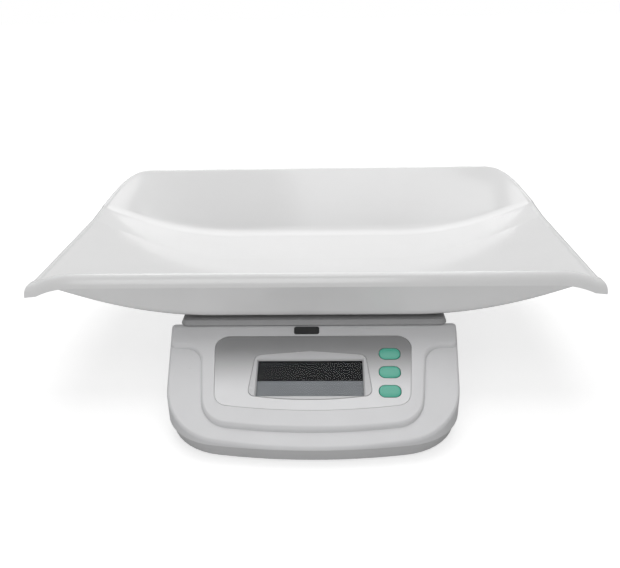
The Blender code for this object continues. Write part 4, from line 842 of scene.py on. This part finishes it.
def metal(name, colour, roughness, stretch):
    """Metal with fine machining or rolling lines, which run along the axis where the stretch is smallest."""
    made = bpy.data.materials.new(name)
    made.use_nodes = True
    nodes, links = made.node_tree.nodes, made.node_tree.links
    shader = nodes["Principled BSDF"]
    shader.inputs["Metallic"].default_value = 1.0
    lines = nodes.new("ShaderNodeMapping")
    lines.inputs["Scale"].default_value = stretch
    links.new(nodes.new("ShaderNodeTexCoord").outputs["Object"], lines.inputs["Vector"])
    noise = nodes.new("ShaderNodeTexNoise")
    noise.inputs["Scale"].default_value = 1
    noise.inputs["Detail"].default_value = 6
    links.new(lines.outputs["Vector"], noise.inputs["Vector"])
    tint = nodes.new("ShaderNodeValToRGB")
    tint.color_ramp.elements[0].color = (*[c * 0.82 for c in colour], 1)
    tint.color_ramp.elements[1].color = (*colour, 1)
    links.new(noise.outputs["Fac"], tint.inputs["Fac"])
    links.new(tint.outputs["Color"], shader.inputs["Base Color"])
    gloss = nodes.new("ShaderNodeMapRange")
    gloss.inputs["To Min"].default_value = roughness * 0.7
    gloss.inputs["To Max"].default_value = roughness * 1.4
    links.new(noise.outputs["Fac"], gloss.inputs["Value"])
    links.new(gloss.outputs["Result"], shader.inputs["Roughness"])
    bump = nodes.new("ShaderNodeBump")
    bump.inputs["Strength"].default_value = 0.15
    bump.inputs["Distance"].default_value = 0.0001
    links.new(noise.outputs["Fac"], bump.inputs["Height"])
    links.new(bump.outputs["Normal"], shader.inputs["Normal"])
    return made


def numbered(name, count):
    return [f"{name}_{i + 1}" for i in range(count)]


looks = {
    "aluminium": metal("milled aluminium", (0.72, 0.73, 0.75), 0.33, (60, 2500, 2500)),
    "steel": metal("zinc plated steel", (0.60, 0.60, 0.62), 0.30, (500, 500, 500)),
    "nickel": metal("nickel plated spring", (0.75, 0.72, 0.66), 0.25, (700, 80, 700)),
    "board_green": plastic("solder mask", (0.04, 0.22, 0.10), 0.40, mottle=0.12, grain=0.2, grain_scale=500),
    "battery_blue": plastic("battery sleeve", (0.10, 0.12, 0.16), 0.30, mottle=0.08, grain=0.03,
                            metallic=0.4),
    "inner_white": plastic("white inner plastic", (0.80, 0.80, 0.80), 0.48),
    "lead_grey": plastic("grey lead sheath", (0.35, 0.35, 0.36), 0.60, grain=0.2),
    "chip_black": chip_black,
}
kept = {
    "aluminium": ["platform_bracket", "bracket_spacer", "load_cell", "load_cell_pedestal"],
    "steel": ["overload_stop", "chassis_plate", *numbered("cover_screw", 4), *numbered("bracket_screw", 2),
              *numbered("pedestal_screw", 2), *numbered("chassis_screw", 4), *numbered("housing_screw", 4)],
    "nickel": ["battery_contact_left", "battery_contact_right"],
    "board_green": ["circuit_board"],
    "battery_blue": numbered("battery", 4),
    "inner_white": ["display_holder", "lead_connector"],
    "lead_grey": ["load_cell_lead"],
    "chip_black": ["processor", "power_switch", "zero_switch", "hold_switch"],
}
for slot, names in kept.items():
    for name in names:
        for material_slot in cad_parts[name].material_slots:
            material_slot.material = looks[slot]


# Studio. A pale floor that keeps the shadow and is clear from below, a white surround, a broad soft light
# overhead, two weaker ones in front, and a faint one under the floor that only lights undersides. The camera
# stands at the photo's place.

bpy.ops.object.select_all(action="DESELECT")
bpy.ops.mesh.primitive_plane_add(size=12)
floor = bpy.context.object
floor.name = "studio_floor"
paper = bpy.data.materials.new("white paper")
paper.use_nodes = True
nodes, links = paper.node_tree.nodes, paper.node_tree.links
shader = nodes["Principled BSDF"]
shader.inputs["Base Color"].default_value = (0.60, 0.60, 0.60, 1)
shader.inputs["Roughness"].default_value = 1.0
shader.inputs["Specular IOR Level"].default_value = 0
shader.inputs["Emission Color"].default_value = (1, 1, 1, 1)
length = nodes.new("ShaderNodeVectorMath")
length.operation = "LENGTH"
links.new(nodes.new("ShaderNodeTexCoord").outputs["Object"], length.inputs[0])
spread = nodes.new("ShaderNodeMapRange")
spread.interpolation_type = "SMOOTHSTEP"
spread.inputs["From Min"].default_value = 0.35
spread.inputs["From Max"].default_value = 1.6
spread.inputs["To Min"].default_value = 0.64
spread.inputs["To Max"].default_value = 0.85
links.new(length.outputs["Value"], spread.inputs["Value"])
seen = nodes.new("ShaderNodeLightPath")
glow = nodes.new("ShaderNodeMath")
glow.operation = "MULTIPLY"
links.new(seen.outputs["Is Camera Ray"], glow.inputs[0])
links.new(spread.outputs["Result"], glow.inputs[1])
links.new(glow.outputs["Value"], shader.inputs["Emission Strength"])
clear = nodes.new("ShaderNodeBsdfTransparent")
under = nodes.new("ShaderNodeMixShader")
links.new(nodes.new("ShaderNodeNewGeometry").outputs["Backfacing"], under.inputs["Fac"])
links.new(shader.outputs["BSDF"], under.inputs[1])
links.new(clear.outputs["BSDF"], under.inputs[2])
links.new(under.outputs["Shader"], nodes["Material Output"].inputs["Surface"])
floor.data.materials.append(paper)

world = bpy.data.worlds.new("studio")
bpy.context.scene.world = world
world.use_nodes = True
nodes, links = world.node_tree.nodes, world.node_tree.links
seen = nodes.new("ShaderNodeLightPath")
strength = nodes.new("ShaderNodeMapRange")
strength.inputs["To Min"].default_value = 0.32
strength.inputs["To Max"].default_value = 1.0
links.new(seen.outputs["Is Camera Ray"], strength.inputs["Value"])
links.new(strength.outputs["Result"], nodes["Background"].inputs["Strength"])
nodes["Background"].inputs["Color"].default_value = (1, 1, 1, 1)

for name, place, aim, size, power in (
    ("overhead", (-0.05, 0.40, 1.4), (0, 0.15, 0.1), 1.3, 11.8),
    ("front", (-0.3, -1.8, 0.2), (0, -0.05, 0.08), 1.2, 8.5),
    ("high front", (0.15, -0.72, 1.35), (0, -0.1, 0.08), 0.6, 2.0),
    ("under", (0, -0.02, -0.6), (0, -0.02, 0), 0.5, 0.8),
):
    light = bpy.data.lights.new(name, "AREA")
    light.shape = "SQUARE"
    light.size = size
    light.energy = power
    lamp = bpy.data.objects.new(name, light)
    lamp.location = place
    lamp.rotation_euler = (Vector(aim) - Vector(place)).to_track_quat("-Z", "Y").to_euler()
    bpy.context.scene.collection.objects.link(lamp)
    if name == "under":
        passed = bpy.data.collections.new("lets the light under it through")
        passed.objects.link(floor)
        passed.collection_objects[0].light_linking.link_state = "EXCLUDE"
        lamp.light_linking.blocker_collection = passed

camera_data = bpy.data.cameras.new("camera")
camera_data.lens = 38.16
camera_data.sensor_width = 36
camera = bpy.data.objects.new("camera", camera_data)
camera.location = (0.0166, -0.654, 0.3914)
turned_left, tipped, rolled = (Matrix.Rotation(math.radians(angle), 3, axis)
                               for angle, axis in ((1.878, "Z"), (64.745, "X"), (-1.190, "Z")))
camera.rotation_euler = (turned_left @ tipped @ rolled).to_euler()
bpy.context.scene.collection.objects.link(camera)
bpy.context.scene.camera = camera
bpy.context.scene.view_settings.view_transform = "Standard"
